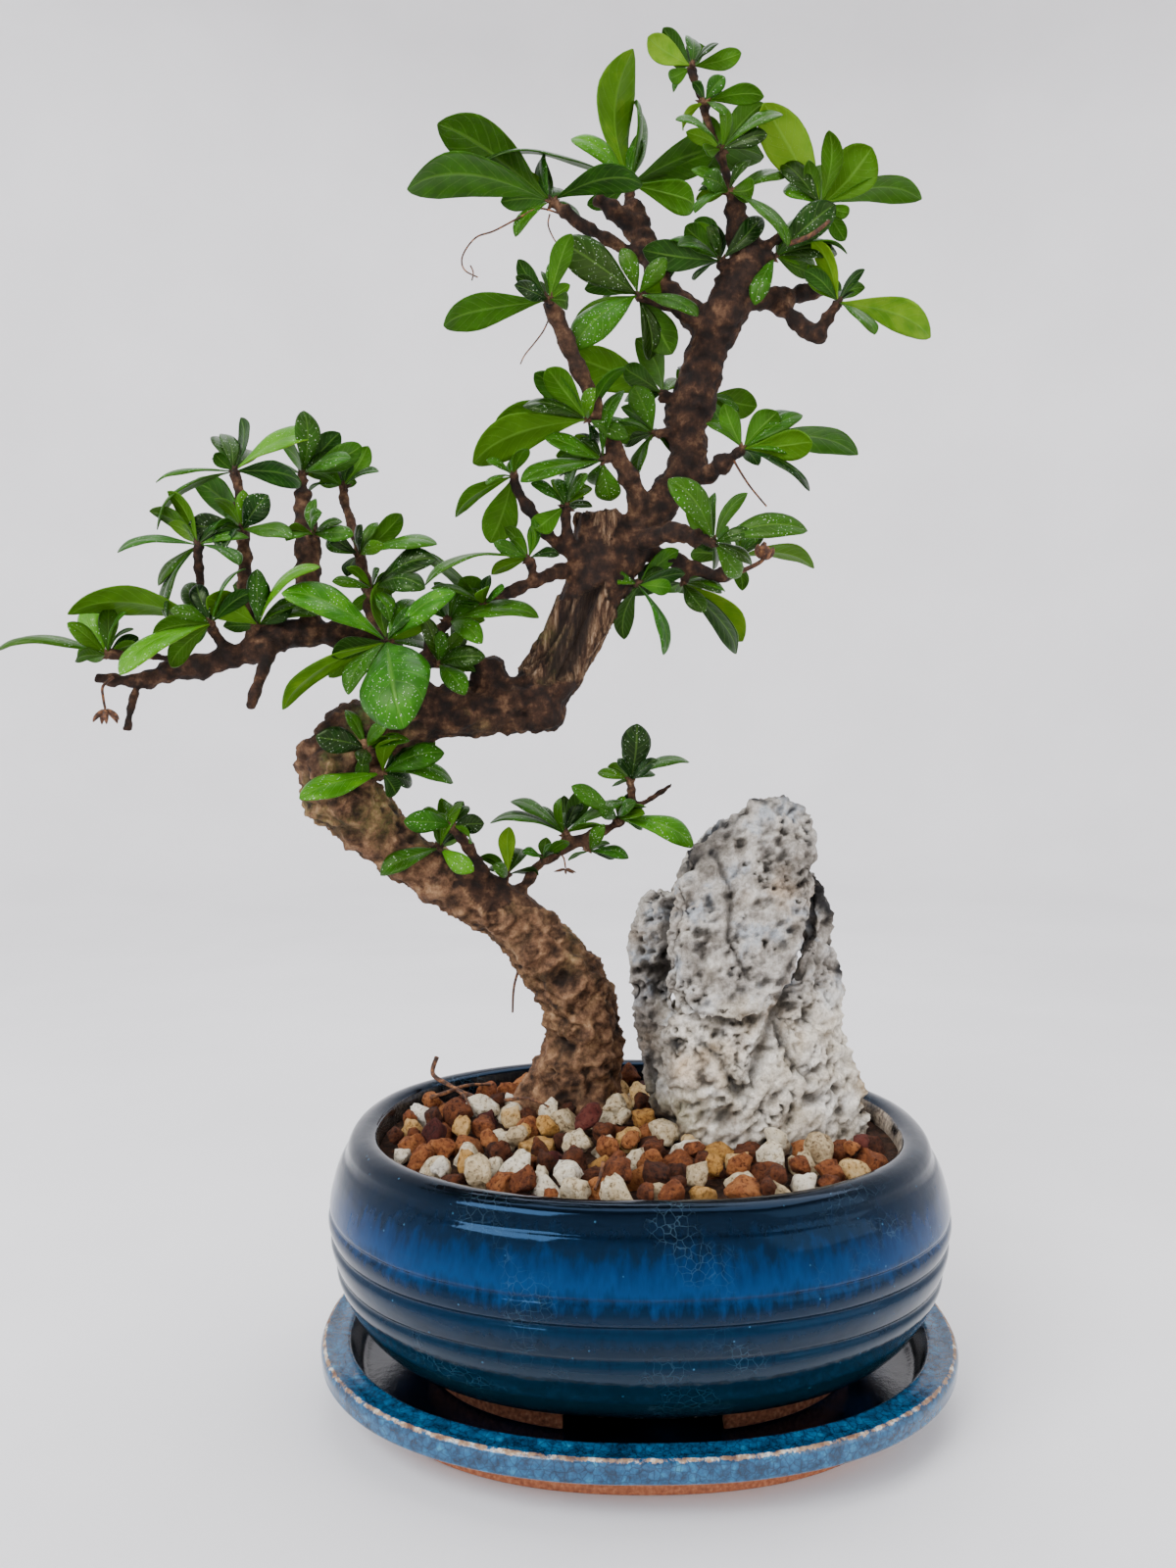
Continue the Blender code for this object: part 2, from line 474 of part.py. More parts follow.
def make_pot():
    rows = [pot_row(inset, pot_height(share)) for inset, share in POT_OUTSIDE]
    rows += [pot_row(inset, height) for inset, height in inside_profile()]
    pot = oval_body("pot", rows, GLAZE)

    sunk = POT_UNDERSIDE_Z + POT_FLOOR / 2
    ring = oval_body("foot_ring", (pot_row(FOOT_INSET, POT_FOOT_Z), pot_row(FOOT_INSET, sunk)),
                     None, CUTTERS)
    hollow_inset = FOOT_INSET + FOOT_WIDTH
    hollow = oval_body("foot_hollow", (pot_row(hollow_inset, POT_FOOT_Z - GAP),
                                       pot_row(hollow_inset, POT_UNDERSIDE_Z)), None, CUTTERS)
    notch_height = POT_UNDERSIDE_Z - POT_FOOT_Z
    middle = POT_UNDERSIDE_Z - notch_height / 2 - GAP / 2
    across = box_cutter("notch_front", (0, 0, middle),
                        (FOOT_GAP_FRONT, POT_WIDTH, notch_height + GAP))
    along = box_cutter("notch_side", (0, 0, middle),
                       (POT_LENGTH, FOOT_GAP_SIDE, notch_height + GAP))
    boolean(ring, (hollow, across, along), "DIFFERENCE")
    # The exact solver leaves gaps where the foot ring enters the curved underside
    boolean(pot, (ring,), "UNION", "MANIFOLD")
    drains = [disc(f"drain_{number}", x, POT_FOOT_Z, POT_FLOOR_Z + POT_FLOOR, DRAIN_RADIUS, None,
                   CUTTERS) for number, x in enumerate(drain_places())]
    boolean(pot, drains, "DIFFERENCE")
    return pot


def make_screens():
    bottom = POT_FLOOR_Z + GAP
    for side, x in zip(("left", "right"), drain_places()):
        disc("drain_screen_" + side, x, bottom, bottom + SCREEN_THICKNESS, SCREEN_RADIUS,
             SCREEN_PLASTIC, BONSAI)


# Wood


def tree_point(x, y, height):
    return Vector((x, y, height)) * TREE_SCALE * MM + Vector((0, 0, TREE_FOOT_Z))


def smoothed(points, steps):
    """A curve through the points, with this many steps between each two."""
    knots = [Vector(point) for point in (points[0], *points, points[-1])]
    route = []
    for a, b, c, d in zip(knots, knots[1:], knots[2:], knots[3:]):
        for step in range(steps):
            t = step / steps
            route.append(b + (c - a) * t / 2 + (a * 2 - b * 5 + c * 4 - d) * t * t / 2
                         + (b * 3 - a - c * 3 + d) * t ** 3 / 2)
    return route + [knots[-1]]


def limb_route(points, steps=1):
    """Centre points and radii in metres along a limb of the tables."""
    return [(tree_point(*knot[:3]), knot[3] * BARK_GIRTH * TREE_SCALE * MM)
            for knot in smoothed(points, steps)]


def tube(name, route, roundness, material, collection, grown=0.0):
    """A tapering tube along the route, as a closed mesh, thicker and longer by grown."""
    curve = bpy.data.curves.new(name, "CURVE")
    curve.dimensions = "3D"
    curve.bevel_depth = 1
    curve.bevel_resolution = roundness
    curve.use_fill_caps = True
    spline = curve.splines.new("POLY")
    spline.points.add(len(route) - 1)
    for point, (place, radius) in zip(spline.points, route):
        point.co = (*place, 1)
        point.radius = radius + grown
    if grown:
        for end, inner in ((0, 1), (-1, -2)):
            outward = (route[end][0] - route[inner][0]).normalized() * grown
            spline.points[end].co = (*(route[end][0] + outward), 1)
    guide = bpy.data.objects.new(name + "_guide", curve)
    collection.objects.link(guide)
    graph = bpy.context.evaluated_depsgraph_get()
    mesh = bpy.data.meshes.new_from_object(guide.evaluated_get(graph))
    bpy.data.objects.remove(guide, do_unlink=True)
    bm = bmesh.new()
    bm.from_mesh(mesh)
    bpy.data.meshes.remove(mesh)
    bmesh.ops.remove_doubles(bm, verts=bm.verts, dist=1e-6)
    return add_object(name, bm, material, collection)


def fused(name, pieces, material, collection=None):
    """One solid made of overlapping pieces, which are used up."""
    first, *others = pieces
    group = bpy.data.collections.new(name + "_pieces")
    bpy.context.scene.collection.children.link(group)
    for piece in others:
        group.objects.link(piece)
    modifier = first.modifiers.new("union", "BOOLEAN")
    modifier.operation = "UNION"
    modifier.operand_type = "COLLECTION"
    modifier.collection = group
    graph = bpy.context.evaluated_depsgraph_get()
    mesh = bpy.data.meshes.new_from_object(first.evaluated_get(graph))
    for piece in pieces:
        bpy.data.objects.remove(piece, do_unlink=True)
    bpy.data.collections.remove(group)
    bm = bmesh.new()
    bm.from_mesh(mesh)
    bpy.data.meshes.remove(mesh)
    return add_object(name, bm, material, collection or BONSAI)


def nearest_wood(place, routes):
    """The wood closest to a place: (clear distance, centre line point, radius, direction)."""
    found = []
    for route in routes:
        for (start, thick_start), (end, thick_end) in zip(route, route[1:]):
            share = min(1, max(0, intersect_point_line(place, start, end)[1]))
            centre = start.lerp(end, share)
            radius = thick_start + (thick_end - thick_start) * share
            found.append(((place - centre).length - radius, centre, radius, end - start))
    return min(found, key=lambda near: near[0])


def bud_seat(place, routes):
    """Where a bud sits: (its centre, the wood's centre line under it), just clear of all wood."""
    _, seat, radius, along = nearest_wood(place, routes)
    outward = place - seat
    reach = max(outward.length, radius + SPUR_RADIUS + GAP + BUD_RADIUS)
    if outward.length < BUD_RADIUS:
        front = Vector((0, -1, 0))
        outward = front - along * front.dot(along) / along.length_squared
    place = seat + outward.normalized() * reach
    for _ in range(4):
        clear, centre, _, _ = nearest_wood(place, routes)
        short = BUD_RADIUS + 2 * GAP - clear
        if short > 0:
            place = place + (place - centre).normalized() * (short + GAP)
    return place, seat


def make_tree(seats):
    trunk = tube("trunk", limb_route(TRUNK, 2), 4, BARK, BONSAI)
    pieces = [trunk]
    for name, points in LIMBS.items():
        pieces.append(tube(name, limb_route(points), 2, BARK, BONSAI))
    for number, points in enumerate(ROOTS):
        pieces.append(tube(f"root_{number}", limb_route(points), 2, BARK, BONSAI))
    for name, (bud, wood) in seats.items():
        tip = bud + (wood - bud).normalized() * (BUD_RADIUS + GAP)
        route = ((wood, SPUR_RADIUS * 1.2), (tip, SPUR_RADIUS))
        pieces.append(tube("spur_" + name, route, 1, BARK, BONSAI))
    return fused("tree", pieces, BARK)


def make_root_cutter():
    """The buried wood, grown by the gap."""
    pieces = [tube("trunk_seat", limb_route(TRUNK, 2)[:5], 4, None, CUTTERS, GAP)]
    for number, points in enumerate(ROOTS):
        pieces.append(tube(f"root_seat_{number}", limb_route(points), 2, None, CUTTERS, GAP))
    return fused("roots_seat", pieces, None, CUTTERS)


# Rock and filling


def rock_body(name, grown, material, collection):
    bm = bmesh.new()
    rings = []
    last = len(ROCK) - 1
    for number, (height, left, right, front, back) in enumerate(ROCK):
        middle = Vector(((left + right) / 2, (front + back) / 2, height))
        half_length = (right - left) / 2
        half_depth = (back - front) / 2
        ring = bmesh.ops.create_circle(bm, segments=ROCK_POINTS, radius=1)["verts"]
        for vert in ring:
            angle = math.atan2(vert.co.y, vert.co.x)
            square = (abs(math.cos(angle)) ** 3 + abs(math.sin(angle)) ** 3) ** (-1 / 3)
            offset = Vector((math.cos(angle) * half_length, math.sin(angle) * half_depth, 0)) * square
            place = (middle + offset) * ROCK_SCALE * MM
            bump = noise.noise(place * 62) * ROCK_ROUGHNESS if height > 0 else 0
            vert.co = place + offset.normalized() * (bump + grown)
            vert.co.z += DRESSING_TOP_Z
            if number == 0:
                vert.co.z -= grown
            if number == last:
                vert.co.z += grown
        rings.append(ring)
    bridged(bm, rings)
    return add_object(name, bm, material, collection)


def filling_row(height):
    """An oval just inside the pot's inner wall at this height."""
    inset = inside_inset(height) + GAP
    return pot_row(inset, height)


def make_soil(cutters):
    heights = [height for _, height in inside_profile() if POT_FLOOR_Z < height < SOIL_TOP_Z]
    rows = [filling_row(SOIL_TOP_Z)] + [filling_row(height) for height in heights]
    rows.append((*pot_row(INSIDE_FLOOR_INSET + 2 * GAP, 0)[:2], POT_FLOOR_Z + GAP))
    soil = oval_body("soil", rows, EARTH)
    pockets = []
    for number, x in enumerate(drain_places()):
        pockets.append(disc(f"screen_pocket_{number}", x, POT_FLOOR_Z - GAP,
                            POT_FLOOR_Z + 2 * GAP + SCREEN_THICKNESS, SCREEN_RADIUS + GAP, None,
                            CUTTERS))
    boolean(soil, pockets + cutters, "DIFFERENCE")
    return soil


def make_dressing(cutters):
    """The layer of coarse grit, with a lumpy top."""
    bottom = SOIL_TOP_Z + GAP
    bm = bmesh.new()
    rings = [oval_ring(bm, *filling_row(bottom))]
    edge = filling_row(DRESSING_TOP_Z)
    for share in (1.0, 0.9, 0.78, 0.64, 0.48, 0.30, 0.12):
        ring = oval_ring(bm, edge[0] * share, edge[1] * share, DRESSING_TOP_Z)
        if 0.12 < share < 1:
            for vert in ring:
                vert.co.z += noise.noise(vert.co * 105) * DRESSING_ROUGHNESS
        rings.append(ring)
    bridged(bm, rings)
    dressing = add_object("top_dressing", bm, GRIT, BONSAI)
    # The exact solver keeps the wrong side of this thin, lumpy layer
    boolean(dressing, cutters, "DIFFERENCE", "MANIFOLD")
    return dressing


# Leaves

# Share of the length and of the width at each ring of a leaf, from its stalk to its tip
LEAF_OUTLINE = ((0, 0), (0.30, 0.30), (0.68, 1.0), (0.90, 0.62), (1, 0))
LEAF_ARCH = 0.12
# Turns and shortenings tried, in this order, until a leaf touches none of its neighbours
SHORTENINGS = (1.0, 0.85, 0.7, 0.55, 0.4)
LIFTS = (0, 8, -8, 16, -16, 24, -24, 34, -34, 46)
SWINGS = (0, 10, -10, 22, -22)


def leaf_shape(root, reach, width, lean):
    """A leaf from root to root + reach: a four-sided ball, drawn out, flattened and arched."""
    along = reach.normalized()
    tilt = math.radians(abs(lean))
    face = Vector((0, -math.copysign(math.sin(tilt), lean), math.cos(tilt)))
    side = along.cross(face).normalized()
    upper = side.cross(along)
    bm = bmesh.new()
    bmesh.ops.create_uvsphere(bm, u_segments=4, v_segments=4, radius=1)
    for vert in bm.verts:
        level = round(math.acos(max(-1, min(1, -vert.co.z))) / (math.pi / 4))
        share, spread = LEAF_OUTLINE[level]
        across, through = vert.co.xy / max(vert.co.xy.length, 0.5)
        arch = LEAF_ARCH * reach.length * 4 * share * (1 - share)
        vert.co = (
            root + reach * share
            + side * across * spread * width / 2
            + upper * (arch + through * LEAF_THICKNESS / 2)
        )
    return bm


def clear_leaf(bud, stalk, leaf, obstacles):
    """The leaf as it is wanted, or the nearest to it that touches no neighbour."""
    reach = Vector(leaf[:3]) * LEAF_SIZE * MM
    width = leaf[3] * LEAF_SIZE * MM
    hinge = reach.cross(stalk).normalized()
    for shortening in SHORTENINGS:
        for lift in LIFTS:
            for swing in SWINGS:
                turned = reach * shortening
                turned.rotate(Quaternion(hinge, math.radians(lift)))
                turned.rotate(Quaternion(stalk, math.radians(swing)))
                bm = leaf_shape(bud, turned, max(width, NARROWEST_LEAF), leaf[4])
                tree = BVHTree.FromBMesh(bm)
                if not any(tree.overlap(other) for other in obstacles):
                    return bm, tree
                bm.free()
    return None, None


def ball(place, radius):
    bm = bmesh.new()
    bmesh.ops.create_icosphere(bm, subdivisions=1, radius=radius)
    bmesh.ops.translate(bm, vec=place, verts=bm.verts)
    return bm


def make_tufts(seats, solids):
    """One piece for each tuft: its bud with all its leaves."""
    graph = bpy.context.evaluated_depsgraph_get()
    placed = [BVHTree.FromObject(solid, graph) for solid in solids]
    buds = {name: BVHTree.FromBMesh(ball(bud, BUD_RADIUS + GAP)) for name, (bud, _) in seats.items()}
    for name, (_, leaves) in TUFTS.items():
        bud, wood = seats[name]
        stalk = (bud - wood).normalized()
        neighbours = placed + [tree for other, tree in buds.items() if other != name]
        pieces = [add_object(name, ball(bud, BUD_RADIUS), LEAF_GREEN, BONSAI)]
        for number, leaf in enumerate(leaves):
            bm, tree = clear_leaf(bud, stalk, leaf, neighbours)
            if bm:
                placed.append(tree)
                pieces.append(add_object(f"{name}_leaf_{number}", bm, LEAF_GREEN, BONSAI))
            else:
                print(name, number, "has no room")
        fused("leaves_" + name, pieces, LEAF_GREEN)


def make_dried_flower(name, bud, wood, cup):
    """A cup of dried sepals on its stalk."""
    outward = (cup - bud).normalized()
    turn = Vector((0, 0, 1)).rotation_difference(outward)
    bm = bmesh.new()
    rings = []
    for share, radius in CUP_OUTLINE:
        ring = bmesh.ops.create_circle(bm, segments=8, radius=radius * CUP_RADIUS)["verts"]
        for vert in ring:
            vert.co = cup + turn @ (vert.co + Vector((0, 0, share * CUP_DEPTH)))
        rings.append(ring)
    bridged(bm, rings)
    foot = bud + (wood - bud).normalized() * BUD_RADIUS
    ends = (foot, bud, cup + outward * CUP_DEPTH * 0.3)
    stem = [(place, CUP_STEM_RADIUS) for place in ends]
    fused(name, [add_object(name + "_cup", bm, DRY_CUP, BONSAI),
                 tube(name + "_stem", stem, 1, DRY_CUP, BONSAI)], DRY_CUP)


def main():
    make_saucer()
    make_pot()
    make_screens()
    rock = rock_body("rock", 0, STONE, BONSAI)

    routes = [limb_route(TRUNK)] + [limb_route(points) for points in LIMBS.values()]
    seats = {name: bud_seat(tree_point(*bud), routes) for name, (bud, _) in TUFTS.items()}
    flowers = {name: bud_seat(tree_point(*start), routes)
               for name, (start, _) in DRIED_FLOWERS.items()}
    tree = make_tree({**seats, **flowers})

    cutters = [make_root_cutter(), rock_body("rock_seat", 2 * GAP, None, CUTTERS)]
    make_soil(cutters)
    make_dressing(cutters)
    for name, (bud, wood) in flowers.items():
        make_dried_flower(name, bud, wood, tree_point(*DRIED_FLOWERS[name][1]))
    dried = [bpy.data.objects[name] for name in flowers]
    make_tufts(seats, [tree, rock, *dried])


main()
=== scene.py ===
# %% [markdown]
# # A flowering bonsai beside a rock, in a glazed pot
#
# A small tree with an S-bent trunk grows in coarse grit, next to a pitted limestone rock. The pot
# is an oval of stoneware under a cobalt glaze, and it stands in a saucer with a turquoise glaze.
# The lesson builds each thing the way it came to be: clay is thrown as rings, wood grows along
# branches, stone is broken and worn, and leaves open in tufts at the ends of short spurs.

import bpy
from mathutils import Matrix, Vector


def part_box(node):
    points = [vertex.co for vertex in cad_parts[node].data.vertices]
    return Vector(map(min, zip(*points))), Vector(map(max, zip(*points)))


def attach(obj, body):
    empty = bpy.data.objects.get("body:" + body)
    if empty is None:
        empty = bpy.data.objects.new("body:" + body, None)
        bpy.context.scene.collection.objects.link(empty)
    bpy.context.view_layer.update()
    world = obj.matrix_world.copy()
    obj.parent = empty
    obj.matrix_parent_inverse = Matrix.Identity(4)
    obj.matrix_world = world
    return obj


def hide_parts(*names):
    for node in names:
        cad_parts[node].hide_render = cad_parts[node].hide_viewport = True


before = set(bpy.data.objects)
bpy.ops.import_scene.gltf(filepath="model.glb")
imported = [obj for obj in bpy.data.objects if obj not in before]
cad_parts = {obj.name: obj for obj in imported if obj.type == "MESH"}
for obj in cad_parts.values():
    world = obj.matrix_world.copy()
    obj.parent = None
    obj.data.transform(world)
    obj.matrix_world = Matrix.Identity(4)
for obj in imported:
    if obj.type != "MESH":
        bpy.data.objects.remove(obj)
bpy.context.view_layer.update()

# %% Modules and units
import math
import random

import bmesh
import bpy
import numpy as np
from mathutils import Quaternion, Vector, kdtree, noise

MM = 0.001
CHANCE = random.Random(11)

# %% [markdown]
# ## Tools for shapes
#
# Everything below is written in millimetres and turned into metres in one place. A profile or a
# branch is typed as a few points, and a Catmull-Rom curve runs smoothly through them: it passes
# through every point, so what is typed is what is seen.

# %% Smooth curves through typed points
def smoothed(points, steps):
    """Rows of a curve through the points, with this many steps between each two."""
    knots = np.array([points[0], *points, points[-1]], float)
    rows = []
    for a, b, c, d in zip(knots, knots[1:], knots[2:], knots[3:]):
        for t in np.arange(steps) / steps:
            rows.append(b + (c - a) * t / 2 + (2 * a - 5 * b + 4 * c - d) * t * t / 2
                        + (3 * b - a - 3 * c + d) * t ** 3 / 2)
    rows.append(knots[-1])
    return np.array(rows)


# %% [markdown]
# A mesh is a list of points and a list of faces. NumPy moves many points at once, so these
# helpers read and write all of a mesh's points as one array in millimetres.

# %% Meshes as arrays of millimetres
def mesh_from(name, points, faces):
    mesh = bpy.data.meshes.new(name)
    mesh.from_pydata((np.asarray(points) * MM).tolist(), [], faces)
    mesh.update()
    return mesh


def points_of(mesh):
    flat = np.empty(len(mesh.vertices) * 3, np.float32)
    mesh.vertices.foreach_get("co", flat)
    return flat.reshape(-1, 3).astype(float) / MM


def normals_of(mesh):
    flat = np.empty(len(mesh.vertices) * 3, np.float32)
    mesh.vertex_normals.foreach_get("vector", flat)
    return flat.reshape(-1, 3).astype(float)


def move_points(mesh, points):
    mesh.vertices.foreach_set("co", (points * MM).astype(np.float32).ravel())
    mesh.update()


def mark(mesh, name, values):
    """Writes one number for each point, which a material can read by this name."""
    made = mesh.attributes.new(name, "FLOAT", "POINT")
    made.data.foreach_set("value", np.asarray(values, np.float32))


# %% [markdown]
# Some shapes are easiest as a stack of modifiers: a voxel remesh welds many overlapping tubes
# into one skin, and Smooth takes away the voxel steps. The result is kept as a plain mesh.

# %% Apply modifiers to a mesh
def linked(name, data):
    """A new object of the scene, with this mesh, curve, lamp or camera."""
    obj = bpy.data.objects.new(name, data)
    bpy.context.scene.collection.objects.link(obj)
    return obj


def as_mesh(helper):
    """What the object shows, as a plain mesh. The object itself is taken away."""
    graph = bpy.context.evaluated_depsgraph_get()
    made = bpy.data.meshes.new_from_object(helper.evaluated_get(graph))
    bpy.data.objects.remove(helper, do_unlink=True)
    return made


def modified(mesh, *stack):
    helper = linked("helper", mesh)
    for kind, settings in stack:
        modifier = helper.modifiers.new(kind, kind)
        for name, value in settings.items():
            setattr(modifier, name, value)
    return as_mesh(helper)


def tubes(name, limbs):
    """One mesh of tapering tubes, each given as rows of x, y, z and radius."""
    curve = bpy.data.curves.new(name, "CURVE")
    curve.dimensions = "3D"
    curve.bevel_depth = MM
    curve.bevel_resolution = 3
    curve.use_fill_caps = True
    for limb in limbs:
        spline = curve.splines.new("POLY")
        spline.points.add(len(limb) - 1)
        for point, (x, y, z, radius) in zip(spline.points, limb):
            point.co = (x * MM, y * MM, z * MM, 1)
            point.radius = radius
    return as_mesh(linked(name, curve))


# %% Uneven surfaces
def unevenness(points, size, octaves=4, seed=0.0):
    """A smooth random number from about -1 to 1 at each point, with lumps of this size in mm."""
    shift = Vector((seed * 7.3, seed * 3.1, seed * 5.7))
    return np.array([noise.fractal(Vector(p) / size + shift, 1.0, 2.0, octaves) for p in points])


# %% [markdown]
# Each finished mesh becomes a piece: it gets its material, rides on the one rigid body of this
# object, and hides the CAD solids it stands for, where it replaces any.

# %% Turn a mesh into a piece of the object
def piece(name, mesh, materials, replaced=()):
    obj = linked(name, mesh)
    for material in materials:
        mesh.materials.append(material)
    mesh.shade_smooth()
    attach(obj, "root")
    if replaced:
        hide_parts(*replaced)
    print(f"{name}: {len(mesh.vertices)} points")
    return obj


# %% [markdown]
# ## Tools for materials
#
# Every finish is a small tree of nodes. One function adds any node: words set a property or a
# socket, a node or socket as a value is linked, and "stops" fills a colour ramp. Colours are
# typed as sRGB hex, as a paint program shows them, and turned to the linear values that light
# is reckoned in.

# %% Colours and nodes
def linear(colour):
    channels = [int(colour[i:i + 2], 16) / 255 for i in (1, 3, 5)]
    return (*[c / 12.92 if c <= 0.04045 else ((c + 0.055) / 1.055) ** 2.4 for c in channels], 1)


def add(tree, kind, settings=None):
    made = tree.nodes.new("ShaderNode" + kind)
    for name, value in (settings or {}).items():
        if isinstance(value, str) and value.startswith("#"):
            value = linear(value)
        if isinstance(value, bpy.types.Node):
            value = value.outputs[0]
        if name == "stops":
            ramp = made.color_ramp.elements
            while len(ramp) < len(value):
                ramp.new(1)
            for element, (place, colour) in zip(ramp, value):
                element.position = place
                element.color = linear(colour)
        elif isinstance(value, bpy.types.NodeSocket):
            tree.links.new(value, made.inputs[name])
        elif isinstance(name, str) and hasattr(made, name):
            setattr(made, name, value)
        else:
            made.inputs[name].default_value = value
    return made


def new_finish(name, **surface):
    """A material with its Principled shader set: (material, node tree, shader)."""
    material = bpy.data.materials.new(name)
    material.use_nodes = True
    tree = material.node_tree
    shader = tree.nodes["Principled BSDF"]
    for socket, value in surface.items():
        shader.inputs[socket.replace("_", " ")].default_value = value
    return material, tree, shader


def millimetres(tree):
    """The place on the object, in millimetres, so that a scale of 1 / 4 makes 4 mm patterns."""
    place = add(tree, "TexCoord")
    return add(tree, "VectorMath", {"operation": "SCALE", 0: place.outputs["Object"],
                                    "Scale": 1 / MM})


# %% [markdown]
# ## The pot and its saucer
#
# A potter throws an oval pot as a round one, then presses it to an oval, so every level is the
# same rounded oval, only larger or smaller. The profile is typed as rows of inset from the belly
# and height, and rings are lofted through it. The fingers of the potter leave shallow grooves
# round the belly, and the glaze pools dark in them.

# %% Rings of a rounded oval
OVAL_POWER = 2.2  # 2 is an ellipse, higher is squarer


def oval(half_length, half_width, height, count=180):
    angles = np.linspace(0, 2 * math.pi, count, endpoint=False)
    cosine, sine = np.cos(angles), np.sin(angles)
    share = 2 / OVAL_POWER
    return np.column_stack((
        np.sign(cosine) * np.abs(cosine) ** share * half_length,
        np.sign(sine) * np.abs(sine) ** share * half_width,
        np.full(count, float(height)),
    ))


def lofted(name, rings):
    """A closed mesh through rings of equal count, with a flat cap at each end."""
    count = len(rings[0])
    faces = [tuple(reversed(range(count)))]
    for level in range(len(rings) - 1):
        for i in range(count):
            j = (i + 1) % count
            low, high = level * count, (level + 1) * count
            faces.append((low + i, low + j, high + j, high + i))
    faces.append(tuple(range((len(rings) - 1) * count, len(rings) * count)))
    return mesh_from(name, np.concatenate(rings), faces)


# %% Sizes shared with the frame
POT_BOX = [Vector(corner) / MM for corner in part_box("pot")]
SAUCER_BOX = [Vector(corner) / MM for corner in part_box("saucer")]
POT_HALF = ((POT_BOX[1].x - POT_BOX[0].x) / 2, (POT_BOX[1].y - POT_BOX[0].y) / 2)
SAUCER_HALF = ((SAUCER_BOX[1].x - SAUCER_BOX[0].x) / 2, (SAUCER_BOX[1].y - SAUCER_BOX[0].y) / 2)
RIM_Z = POT_BOX[1].z
GRIT_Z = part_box("soil")[1].z / MM + 5.8
print(f"pot {2 * POT_HALF[0]:.0f} x {2 * POT_HALF[1]:.0f} mm, rim at {RIM_Z:.1f} mm")

# %% [markdown]
# The glaze on the pot is cobalt over stoneware. It runs down in the kiln, so it thins to a
# teal-grey towards the foot, is nearly black on the rim where two dips overlap, and breaks into
# vertical streaks. Cooling leaves a net of fine cracks, pale with scale from hard water. What
# the eye takes from it: a wet, deep gloss with sharp reflections, softer where it is scratched.
# The reflections are tinted blue, because a deep glaze colours part of the light it gives back.

